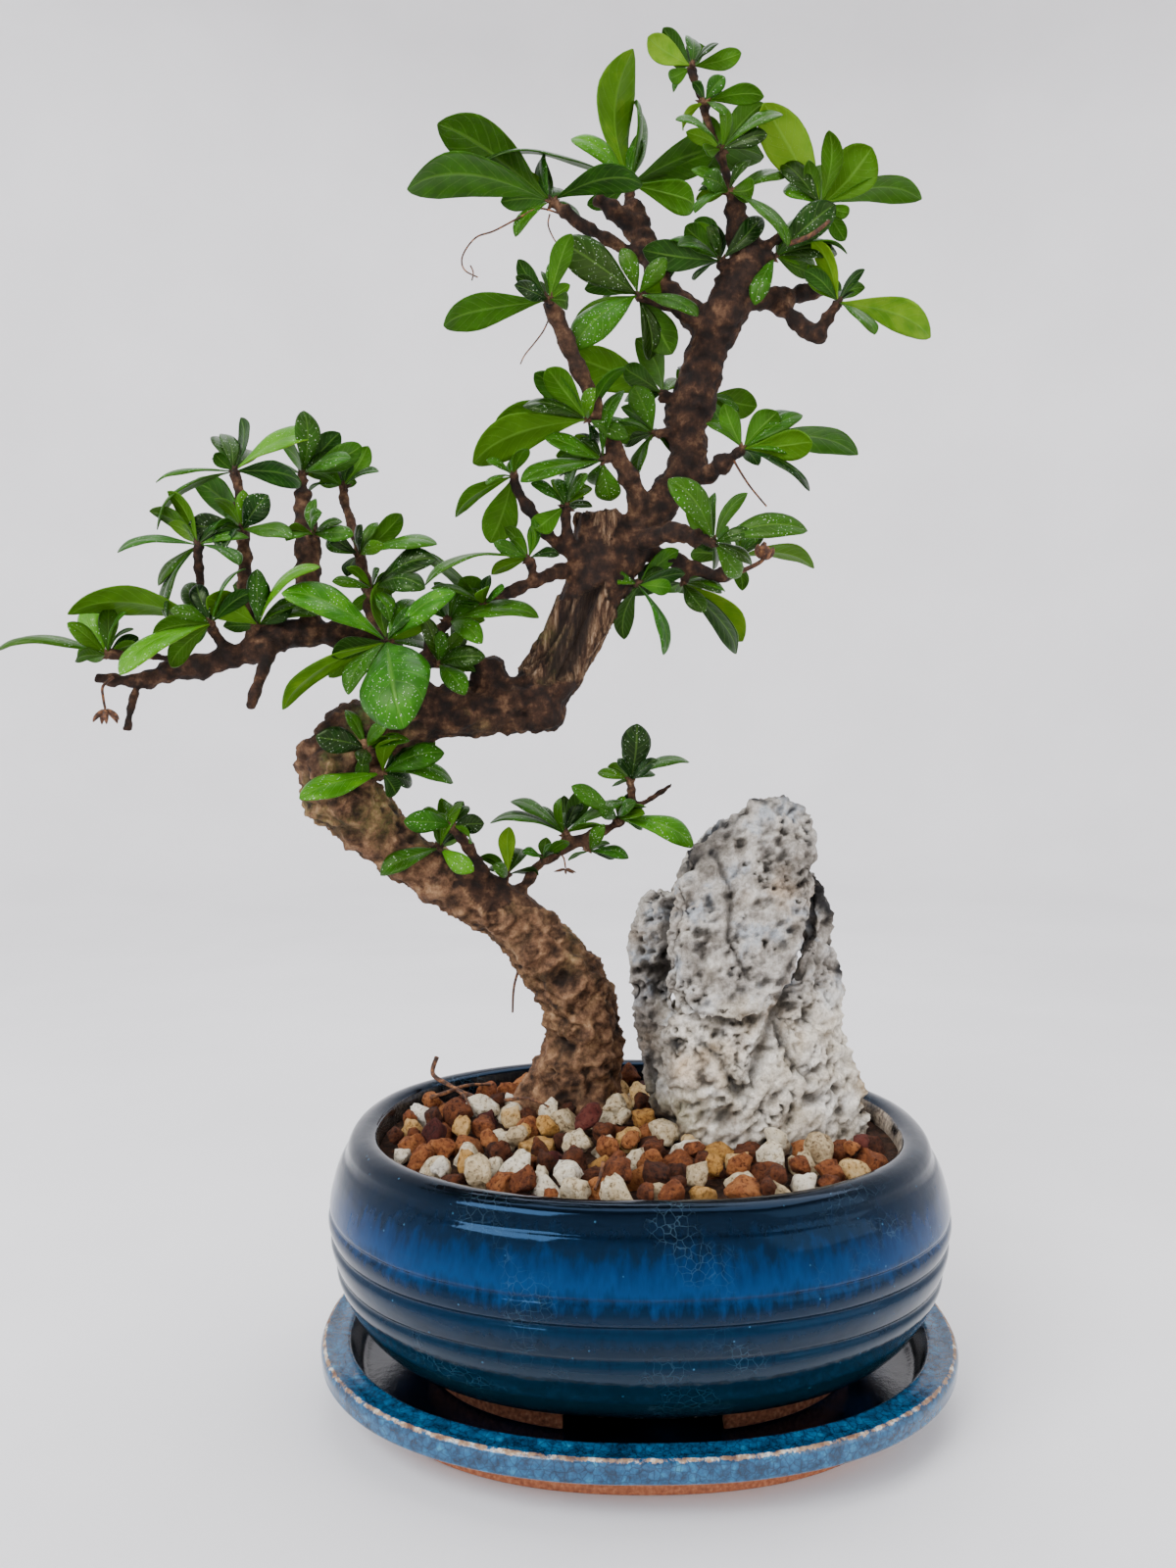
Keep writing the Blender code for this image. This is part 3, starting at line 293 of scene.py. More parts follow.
# %% Cobalt glaze
def make_cobalt_glaze():
    finish, tree, shader = new_finish("cobalt glaze on stoneware", Roughness=0.1, IOR=1.52)
    shader.inputs["Specular IOR Level"].default_value = 0.38
    shader.inputs["Specular Tint"].default_value = linear("#5f93cc")
    place = millimetres(tree)
    height = add(tree, "SeparateXYZ", {0: place}).outputs["Z"]
    # Streaks: 2.6 mm across and eight times as long, because the glaze runs downwards
    long_place = add(tree, "VectorMath", {"operation": "MULTIPLY", 0: place, 1: (1, 1, 0.13)})
    streaks = add(tree, "TexNoise", {"Vector": long_place, "Scale": 1 / 2.6, "Detail": 5,
                                     "Roughness": 0.62})
    clouds = add(tree, "TexNoise", {"Vector": place, "Scale": 1 / 17, "Detail": 4})
    ragged = add(tree, "MapRange", {"Value": streaks, "From Min": 0.3, "From Max": 0.7,
                                    "To Min": -3.5, "To Max": 3.5})
    level = add(tree, "Math", {"operation": "ADD", 0: height, 1: ragged})
    share = add(tree, "MapRange", {"Value": level, "From Min": 18, "From Max": 88})
    bands = add(tree, "ValToRGB", {"Fac": share.outputs[0], "stops": [
        (0.00, "#0d1b20"), (0.13, "#061e28"), (0.27, "#041a26"), (0.41, "#031624"),
        (0.44, "#010c17"), (0.52, "#02182a"), (0.62, "#010f20"), (0.71, "#012c56"),
        (0.79, "#012044"), (0.85, "#021022"), (0.93, "#03080f"), (1.00, "#03060c")]})
    light = add(tree, "ValToRGB", {"Fac": streaks, "stops": [
        (0.50, "#000000"), (0.66, "#303030"), (0.84, "#727272")]})
    belly = add(tree, "ValToRGB", {"Fac": share.outputs[0], "stops": [
        (0.05, "#303030"), (0.35, "#484848"), (0.60, "#505050"), (0.72, "#ffffff"),
        (0.82, "#606060"), (0.92, "#101010")]})
    streaked = add(tree, "MixRGB", {"blend_type": "MULTIPLY", "Fac": 1.0, "Color1": light,
                                    "Color2": belly})
    glaze = add(tree, "MixRGB", {"Fac": streaked, "Color1": bands, "Color2": "#04477a"})
    worn = add(tree, "ValToRGB", {"Fac": clouds, "stops": [
        (0.50, "#000000"), (0.66, "#8c8c8c")]})
    low = add(tree, "MapRange", {"Value": height, "From Min": 60, "From Max": 24})
    worn_low = add(tree, "Math", {"operation": "MULTIPLY", 0: worn, 1: low})
    glaze = add(tree, "MixRGB", {"Fac": worn_low, "Color1": glaze, "Color2": "#0c2029"})
    # Crackle: cells of 2.6 mm. The real cracks are hair-thin and are drawn 0.2 mm wide to show
    bent = add(tree, "TexNoise", {"Vector": place, "Scale": 1 / 3, "Detail": 3})
    bent_place = add(tree, "VectorMath", {"operation": "MULTIPLY_ADD",
                                          0: bent.outputs["Color"], 1: (1.6, 1.6, 1.6), 2: place})
    cells = add(tree, "TexVoronoi", {"feature": "DISTANCE_TO_EDGE", "Vector": bent_place,
                                     "Scale": 1 / 2.6})
    cracks = add(tree, "MapRange", {"Value": cells, "From Min": 0.045, "From Max": 0.0})
    patches = add(tree, "TexNoise", {"Vector": place, "Scale": 1 / 28, "Detail": 2})
    patchy = add(tree, "MapRange", {"Value": patches, "From Min": 0.52, "From Max": 0.66,
                                    "To Max": 0.28})
    crackle = add(tree, "Math", {"operation": "MULTIPLY", 0: cracks, 1: patchy})
    glaze = add(tree, "MixRGB", {"Fac": crackle, "Color1": glaze, "Color2": "#57798c"})
    # Lime spots from watering
    dots = add(tree, "TexVoronoi", {"Vector": place, "Scale": 1 / 5.5, "Randomness": 1.0})
    spots = add(tree, "MapRange", {"Value": dots, "From Min": 0.07, "From Max": 0.03,
                                   "To Max": 0.6})
    glaze = add(tree, "MixRGB", {"Fac": spots, "Color1": glaze, "Color2": "#41708e"})
    # Bare clay where the glaze was wiped off, below a wavering line above the foot
    edge = add(tree, "Math", {"operation": "ADD", 0: level, 1: clouds})
    bare = add(tree, "MapRange", {"Value": edge, "From Min": 21.6, "From Max": 20.4})
    clay_grain = add(tree, "TexNoise", {"Vector": place, "Scale": 1 / 1.2, "Detail": 6})
    clay = add(tree, "ValToRGB", {"Fac": clay_grain, "stops": [
        (0.25, "#5b3524"), (0.55, "#8a5a40"), (0.80, "#a77a5c")]})
    inside = add(tree, "Attribute", {"attribute_name": "deposit"})
    crust = add(tree, "ValToRGB", {"Fac": clay_grain, "stops": [
        (0.35, "#6d6156"), (0.65, "#b5a692")]})
    colour = add(tree, "MixRGB", {"Fac": bare, "Color1": glaze, "Color2": clay})
    colour = add(tree, "MixRGB", {"Fac": inside.outputs["Fac"], "Color1": colour,
                                  "Color2": crust})
    tree.links.new(colour.outputs[0], shader.inputs["Base Color"])
    dull = add(tree, "Math", {"operation": "MAXIMUM", 0: bare, 1: inside.outputs["Fac"]})
    scratches = add(tree, "MapRange", {"Value": worn_low, "To Min": 0.09, "To Max": 0.3})
    rough = add(tree, "MapRange", {"Value": dull, "To Min": scratches.outputs[0], "To Max": 0.9})
    tree.links.new(rough.outputs[0], shader.inputs["Roughness"])
    waves = add(tree, "TexNoise", {"Vector": place, "Scale": 1 / 9, "Detail": 3})
    ripples = add(tree, "Bump", {"Height": waves, "Distance": 0.0004, "Strength": 0.35})
    grit = add(tree, "Bump", {"Height": clay_grain, "Distance": 0.0004, "Strength": dull,
                              "Normal": ripples})
    tree.links.new(grit.outputs[0], shader.inputs["Normal"])
    return finish


COBALT_GLAZE = make_cobalt_glaze()

# %% [markdown]
# The body of the pot comes first. The rows run from the underside, out over the belly, across
# the rim and down inside, so one closed skin has a real wall. A slow random swell of a third of
# a millimetre keeps it from looking machined. Hard water leaves a tan crust inside the rim: a
# number on each point tells the glaze where that is.

# %% Pot body
POT_ROWS = (  # inset from the belly, height
    (27, 18.6), (25.4, 18.9), (22.6, 20.2), (17, 23.6), (12, 28.2), (8.4, 33), (5.4, 38.6),
    (3.2, 43.4), (2.5, 46), (3.0, 47.6), (2.3, 49.3), (1.2, 52.5), (0.7, 55.4), (1.5, 57.2),
    (0.7, 58.9), (0.0, 61.5), (0.1, 63.4), (0.9, 65.0), (0.4, 66.6), (0.9, 70), (1.9, 74),
    (3.0, 77.4), (4.4, 80.2), (5.5, 81.6), (6.1, 83.2), (6.6, 85), (7.8, 86.8), (9.8, 87.9),
    (12.0, 88.3), (14.2, 87.8), (15.6, 86.4), (16.3, 84.0), (16.0, 80), (14.6, 74),
    (13.6, 60), (13.8, 46), (20, 33), (30, 25.2),
)
CRUST_INSET, CRUST_HEIGHT = 15.2, 40  # the crust lies past this inset, above this height


def make_pot():
    top = max(height for _, height in POT_ROWS)
    rows = smoothed(POT_ROWS, 5)
    rings = [oval(POT_HALF[0] - inset, POT_HALF[1] - inset, height + RIM_Z - top)
             for inset, height in rows]
    mesh = lofted("pot body", rings)
    points = points_of(mesh)
    out = normals_of(mesh)
    points[:, :2] += out[:, :2] * (unevenness(points, 38, 2, 1) * 0.32)[:, None]
    points[:, 2] += np.clip(points[:, 2] - 70, 0, 12) / 12 * unevenness(points, 60, 2, 2) * 0.4
    move_points(mesh, points)
    inner = np.repeat([float(inset > CRUST_INSET and height > CRUST_HEIGHT)
                       for inset, height in rows], len(rings[0]))
    facing = np.clip((points[:, 0] + 10) / 60, 0.15, 1) * np.clip(1.2 - points[:, 1] / 60, 0, 1)
    mark(mesh, "deposit", inner * facing * np.clip(0.75 + unevenness(points, 9, 4, 3) * 1.5, 0, 1))
    return mesh


# %% [markdown]
# Four feet lift the pot. They are left of one foot ring after the potter has cut notches through
# it, so they are slices of the same oval. Each is its own closed block, sunk into the underside.

# %% Pot feet
FOOT_OUTER, FOOT_INNER = 31.0, 38.5  # insets from the belly
NOTCH_FRONT, NOTCH_SIDE = 24.0, 13.0  # half lengths of the notches
FOOT_TOP = 20.5
FOOT_LEAN = 0.4  # how far the sides lean in on the way down
FOOT_EDGE, FOOT_EDGE_HEIGHT = 1.2, 0.8  # where the rounded lower edge ends and starts
FOOT_POINTS = 24  # along each edge


def foot_points(inset, height, front, side):
    ring = oval(POT_HALF[0] - inset, POT_HALF[1] - inset, height, 360)
    keep = (ring[:, 0] * side > NOTCH_FRONT) & (ring[:, 1] * front > NOTCH_SIDE)
    kept = ring[keep]
    return kept[np.argsort(np.arctan2(np.abs(kept[:, 1]), np.abs(kept[:, 0])))]


def resampled(points, count):
    """The same line as this many points, evenly spread over its rows."""
    old = np.linspace(0, 1, len(points))
    new = np.linspace(0, 1, count)
    return np.column_stack([np.interp(new, old, points[:, axis]) for axis in range(3)])


def make_feet():
    bm = bmesh.new()
    bottom = POT_BOX[0].z
    profile = (
        (FOOT_OUTER, FOOT_TOP), (FOOT_OUTER + FOOT_LEAN, bottom + FOOT_EDGE_HEIGHT),
        (FOOT_OUTER + FOOT_EDGE, bottom), (FOOT_INNER - FOOT_EDGE, bottom),
        (FOOT_INNER - FOOT_LEAN, bottom + FOOT_EDGE_HEIGHT), (FOOT_INNER, FOOT_TOP),
    )
    for front in (-1, 1):
        for side in (-1, 1):
            loops = []
            for inset, height in profile:
                line = resampled(foot_points(inset, height, front, side), FOOT_POINTS)
                loops.append([bm.verts.new(point * MM) for point in line])
            for first, second in zip(loops, loops[1:] + loops[:1]):
                for i in range(len(first) - 1):
                    bm.faces.new((first[i], first[i + 1], second[i + 1], second[i]))
            for end in (0, -1):
                bm.faces.new([loop[end] for loop in loops])
    bmesh.ops.recalc_face_normals(bm, faces=bm.faces)
    mesh = bpy.data.meshes.new("pot feet")
    bm.to_mesh(mesh)
    bm.free()
    return mesh


def joined(name, meshes):
    """One mesh of several, keeping the numbers marked on the first."""
    bm = bmesh.new()
    for mesh in meshes:
        bm.from_mesh(mesh)
    made = bpy.data.meshes.new(name)
    bm.to_mesh(made)
    bm.free()
    return made


piece("glazed_pot", joined("glazed pot", [make_pot(), make_feet()]), [COBALT_GLAZE],
      ["pot"])

# %% [markdown]
# The saucer wears a different glaze, turquoise and full of fine crackle. It breaks to brown and
# chalky white on the sharp outer edge of the lip, and was wiped off the foot, which shows red
# clay.
# On the floor and the inner wall it is painted nearly black: the glaze lies deepest there, and the
# black is also painted shade under and beside the pot. Each row of the profile carries three
# numbers: how deep the glaze and the painted shade lie, how worn the edge is and how bare the
# clay, and the material reads them.

# %% Turquoise glaze
def make_turquoise_glaze():
    finish, tree, shader = new_finish("turquoise crackle glaze", Roughness=0.12, IOR=1.52)
    place = millimetres(tree)
    depth = add(tree, "Attribute", {"attribute_name": "pooled"}).outputs["Fac"]
    worn = add(tree, "Attribute", {"attribute_name": "worn"}).outputs["Fac"]
    bare = add(tree, "Attribute", {"attribute_name": "bare"}).outputs["Fac"]
    mottle = add(tree, "TexNoise", {"Vector": place, "Scale": 1 / 3.2, "Detail": 6,
                                    "Roughness": 0.65})
    clouds = add(tree, "TexNoise", {"Vector": place, "Scale": 1 / 24, "Detail": 3})
    thin = add(tree, "ValToRGB", {"Fac": mottle, "stops": [
        (0.30, "#031d33"), (0.44, "#053a5c"), (0.58, "#0a5682"), (0.76, "#2a83a6")]})
    # Painted shade: the floor and inner wall, under and beside the pot, go nearly black here
    pooled = add(tree, "ValToRGB", {"Fac": clouds, "stops": [
        (0.35, "#03060e"), (0.55, "#050d1c"), (0.72, "#0a2442")]})
    glaze = add(tree, "MixRGB", {"Fac": depth, "Color1": thin, "Color2": pooled})
    # Crackle: cells of 2.3 mm, with cracks drawn almost 0.5 mm wide so that they show
    bent = add(tree, "VectorMath", {"operation": "MULTIPLY_ADD", 0: mottle.outputs["Color"],
                                    1: (1.3, 1.3, 1.3), 2: place})
    cells = add(tree, "TexVoronoi", {"feature": "DISTANCE_TO_EDGE", "Vector": bent,
                                     "Scale": 1 / 2.3})
    cracks = add(tree, "MapRange", {"Value": cells, "From Min": 0.1, "From Max": 0.0,
                                    "To Max": 0.7})
    shallow_and_unshaded = add(tree, "Math", {"operation": "SUBTRACT", 0: 1.0, 1: depth})
    cracks = add(tree, "Math", {"operation": "MULTIPLY", 0: cracks, 1: shallow_and_unshaded})
    glaze = add(tree, "MixRGB", {"Fac": cracks, "Color1": glaze, "Color2": "#05182b"})
    chips = add(tree, "TexNoise", {"Vector": place, "Scale": 1 / 2.4, "Detail": 6,
                                   "Roughness": 0.75})
    broken = add(tree, "Math", {"operation": "ADD", 0: chips, 1: worn})
    rim_line = add(tree, "MapRange", {"Value": broken, "From Min": 1.40, "From Max": 1.48})
    rim_colour = add(tree, "ValToRGB", {"Fac": mottle, "stops": [
        (0.38, "#6b4a36"), (0.52, "#a08468"), (0.62, "#d8d3c6")]})
    glaze = add(tree, "MixRGB", {"Fac": rim_line, "Color1": glaze, "Color2": rim_colour})
    grain = add(tree, "TexNoise", {"Vector": place, "Scale": 1 / 1.1, "Detail": 6})
    clay = add(tree, "ValToRGB", {"Fac": grain, "stops": [
        (0.25, "#7c4128"), (0.55, "#ae6843"), (0.80, "#c98b62")]})
    ragged = add(tree, "Math", {"operation": "ADD", 0: bare, 1: clouds})
    bare_edge = add(tree, "MapRange", {"Value": ragged, "From Min": 0.95, "From Max": 1.05})
    colour = add(tree, "MixRGB", {"Fac": bare_edge, "Color1": glaze, "Color2": clay})
    tree.links.new(colour.outputs[0], shader.inputs["Base Color"])
    dull = add(tree, "Math", {"operation": "MAXIMUM", 0: bare_edge, 1: rim_line})
    rough = add(tree, "MapRange", {"Value": dull, "To Min": 0.11, "To Max": 0.75})
    tree.links.new(rough.outputs[0], shader.inputs["Roughness"])
    orange_peel = add(tree, "Bump", {"Height": mottle, "Distance": 0.0003, "Strength": 0.35})
    grit = add(tree, "Bump", {"Height": grain, "Distance": 0.0004, "Strength": dull,
                              "Normal": orange_peel})
    tree.links.new(grit.outputs[0], shader.inputs["Normal"])
    return finish


TURQUOISE_GLAZE = make_turquoise_glaze()

# %% Saucer
SAUCER_ROWS = (  # inset from the lip, height, pooled glaze and painted shade, worn, bare
    (17.6, 0.0, 0, 0, 1), (17.5, 0.5, 0, 0, 1), (17.4, 3.6, 0, 0, 1), (16.6, 4.7, 0.2, 0, 0.7),
    (13.4, 6.9, 0.4, 0, 0.2), (9.6, 9.2, 0.3, 0, 0), (5.0, 11.9, 0.1, 0, 0),
    (1.6, 13.5, 0.1, 0.1, 0), (0.5, 14.5, 0.1, 0.3, 0), (0.3, 16.2, 0, 0, 0),
    (0.1, 18.6, 0, 0.15, 0), (0.5, 20.0, 0, 0.8, 0), (1.5, 20.9, 0, 1.0, 0),
    (2.7, 20.9, 0, 0.35, 0), (5.0, 20.5, 0, 0, 0), (7.6, 20.8, 0, 0, 0),
    (9.0, 20.6, 0.1, 0.1, 0), (9.9, 19.4, 0.4, 0, 0), (10.8, 16.0, 0.8, 0, 0),
    (12.0, 12.2, 1, 0, 0), (14.2, 9.9, 1, 0, 0), (17.5, 9.2, 1, 0, 0), (26, 9.0, 1, 0, 0),
    (45, 9.0, 1, 0, 0), (60, 9.0, 1, 0, 0),
)


def make_saucer():
    rows = smoothed(SAUCER_ROWS, 5)
    rings = [oval(SAUCER_HALF[0] - row[0], SAUCER_HALF[1] - row[0], row[1]) for row in rows]
    mesh = lofted("saucer", rings)
    points = points_of(mesh)
    raised = np.clip(points[:, 2] / 12, 0, 1)
    points[:, 2] += raised * unevenness(points, 55, 2, 4) * 0.35
    move_points(mesh, points)
    for column, name in ((2, "pooled"), (3, "worn"), (4, "bare")):
        mark(mesh, name, np.repeat(np.clip(rows[:, column], 0, 1), len(rings[0])))
    return mesh


piece("glazed_saucer", make_saucer(), [TURQUOISE_GLAZE], ["saucer"])

# %% [markdown]
# ## The wood
#
# The tree is trained over decades: a thick trunk swings left, doubles back in a lying bend, and
# rises as a dead, hollow stub, while one living branch carries the crown. The limbs are typed as
# rows of x, y, height and radius, measured from the middle of the pot at the grit, with x to the
# right and y to the back. Tubes through those rows overlap where limbs meet.

# %% Limbs
TRUNK = (
    (-24, 38, -9, 17), (-23, 38, 0, 17), (-20, 37, 12, 15.6), (-18, 37, 27, 13.9),
    (-21, 35, 42, 13.5), (-31, 32, 57, 12.3), (-45, 28, 71, 10.4), (-62, 24, 83, 10.0),
    (-74, 21, 90, 9.9), (-85, 18, 99, 9.8), (-94, 16, 107, 11.5), (-101, 14, 118, 13.8),
    (-98, 13, 131, 12.3), (-86, 13, 139, 10.6), (-67, 15, 143, 9.2), (-50, 17, 145, 9.7),
    (-35, 20, 149, 10.2), (-25, 22, 163, 9.8), (-16, 23, 182, 10.2), (-12, 24, 195, 10.8),
    (-11, 24, 211, 9.4),
)
LIMBS = {
    "hump": ((-48, 18, 147, 8.7), (-50, 16, 156, 6.7), (-51, 15, 162, 5.0)),
    "corner knob": ((-38, 19, 148, 10), (-30, 18, 145, 9), (-25, 17, 145, 4.5)),
    "living branch": (
        (-10, 24, 186, 8.1), (2, 26, 207, 7.1), (10, 28, 218, 6.6), (19, 30, 231, 6.5),
        (18, 31, 242, 7.4), (20, 30, 251, 8.4), (23, 29, 261, 7.3), (26, 27, 271, 7.1),
        (32, 25, 282, 7.9), (38, 24, 297, 6.7), (36, 23, 304, 5.3), (34, 22, 311, 3.9),
        (33, 22, 317, 2.8),
    ),
    "leader": ((33, 22, 314, 2.2), (31, 21, 321, 1.5), (28, 20, 330, 1.5), (24, 19, 340, 1.3),
               (19, 18, 354, 1.2)),
    "riser": ((2, 24, 205, 4.6), (0, 20, 218, 3.8), (-6, 14, 228, 3.1), (-13, 9, 243, 2.7),
              (-20, 5, 256, 2.7), (-27, 2, 271, 3.1), (-29, 1, 274, 2.4)),
    "right stub": ((32, 25, 282, 4.9), (43, 28, 286, 4.6), (50, 30, 286, 4.3),
                   (57, 33, 289, 3.2), (66, 36, 292, 3.0)),
    "right fork": ((48, 29, 285, 3.3), (55, 26, 278, 3.1), (61, 23, 272, 3.2),
                   (65, 20, 277, 2.6)),
    "mid right": ((19, 30, 231, 5.0), (23, 24, 224, 3.2), (27, 18, 226, 3.3), (31, 14, 228, 3.2)),
    "low right": ((-3, 24, 202, 4.9), (5, 16, 202, 3.5), (13, 10, 203, 3.1), (20, 5, 200, 3.0)),
    "low right long": ((-5, 24, 200, 4.3), (6, 28, 199, 3.2), (19, 32, 195, 2.7),
                       (28, 35, 192, 2.3), (35, 37, 193, 3.4)),
    "upper left": ((26, 27, 272, 5.1), (17, 29, 284, 4.2), (10, 31, 291, 3.9), (6, 33, 301, 4.5),
                   (1, 35, 312, 5.2), (-2, 36, 320, 4.6)),
    "upper stub": ((1, 35, 312, 3.6), (-7, 31, 316, 3.2), (-14, 28, 320, 2.4)),
    "upper twig": ((1, 34, 302, 2.6), (-7, 30, 305, 2.2), (-19, 26, 310, 2.2),
                   (-25, 24, 314, 2.4)),
    "crown twig": ((27, 27, 274, 4.0), (14, 23, 280, 2.2), (5, 21, 283, 2.1)),
    "right twig": ((38, 24, 297, 4.0), (46, 21, 302, 1.7), (53, 19, 306, 1.5), (58, 18, 310, 1.5)),
    "left branch": (
        (-63, 14, 141, 6.0), (-73, 11, 148, 5.9), (-80, 9, 159, 5.6), (-87, 8, 166, 5.3),
        (-100, 6, 169, 4.6), (-112, 5, 169, 4.8), (-119, 4, 168, 5.2), (-123, 2, 165, 4.9),
        (-133, 0, 161, 3.9), (-143, -2, 158, 4.0), (-152, -4, 156, 3.6), (-162, -6, 153, 2.6),
        (-174, -9, 154, 1.8),
    ),
    "down stub": ((-120, 4, 167, 3.0), (-122, -2, 157, 2.2), (-125, -8, 144, 1.9)),
    "down twig": ((-157, -5, 155, 2.0), (-161, -9, 150, 1.4), (-163, -12, 137, 1.3)),
    "pad stem a": ((-126, 3, 165, 3.1), (-130, 7, 185, 2.7), (-131, 9, 196, 2.6),
                   (-132, 10, 212, 2.1), (-133, 10, 219, 1.6)),
    "pad stub": ((-107, 6, 168, 4.1), (-110, 9, 185, 4.0), (-110, 11, 200, 4.6),
                 (-112, 12, 210, 3.6), (-112, 12, 217, 3.0)),
    "pad stem b": ((-87, 9, 167, 2.5), (-91, 13, 185, 2.1), (-95, 17, 201, 1.9),
                   (-100, 20, 216, 1.6)),
    "pad stem c": ((-132, 0, 161, 2.2), (-139, -3, 171, 1.8), (-141, -5, 183, 1.8),
                   (-141, -7, 192, 1.5)),
    "pad stem d": ((-74, 11, 150, 3.4), (-71, 9, 159, 2.8), (-69, 7, 166, 2.4),
                   (-66, 6, 170, 2.0)),
    "tip twig": ((-140, -1, 160, 1.6), (-149, -7, 160, 1.3), (-157, -11, 161, 1.2),
                 (-164, -13, 161, 1.2)),
    "mid left": ((-16, 22, 190, 3.5), (-25, 17, 191, 2.8), (-32, 12, 188, 2.5), (-40, 8, 184, 2.2),
                 (-47, 4, 180, 1.7)),
    "crook": ((-16, 20, 194, 3.5), (-28, 15, 201, 2.5), (-35, 11, 209, 2.4), (-40, 9, 217, 1.7)),
    "crook side": ((-18, 20, 196, 3.0), (-23, 15, 202, 2.0), (-24, 13, 208, 1.6)),
    "sprig": ((-44, 30, 77, 2.8), (-38, 30, 83, 2.2), (-35, 31, 88, 1.8), (-31, 32, 91, 1.9),
              (-25, 33, 94, 1.9), (-19, 34, 98, 1.9), (-11, 35, 101, 1.9), (-5, 36, 104, 1.5),
              (-1, 37, 109, 1.5), (-1, 37, 115, 1.3)),
    "sprig end": ((-1, 37, 108, 1.5), (6, 39, 112, 1.3), (14, 41, 117, 1.3)),
    "lower fork": ((-51, 25, 80, 3.8), (-55, 18, 92, 2.2), (-60, 13, 101, 1.9)),
    "root flare left": ((-24, 37, 11, 13), (-33, 35, 4, 9.5), (-42, 32, -1, 6.5),
                        (-50, 29, -5, 4)),
    "root flare front": ((-22, 34, 9, 12), (-17, 28, 2, 8), (-11, 23, -3, 5), (-7, 19, -7, 3)),
    "root flare right": ((-20, 37, 8, 12), (-9, 37, 2, 7), (-1, 38, -3, 4.5), (5, 39, -8, 2.5)),
}

# %% [markdown]
# Leaves on this tree open in tufts. Each tuft has a bud, given like the wood, and its leaves:
# the way from the bud to the tip, the width seen from the front, and the side seen from there
# (u for the upper face, l for the lower). A letter after that chooses a tone: b bright and young,
# d dark and glossy, h the high green of the large leaves in front, o olive with the light behind
# it, y yellow-green. Without one, a leaf has the usual green, m.

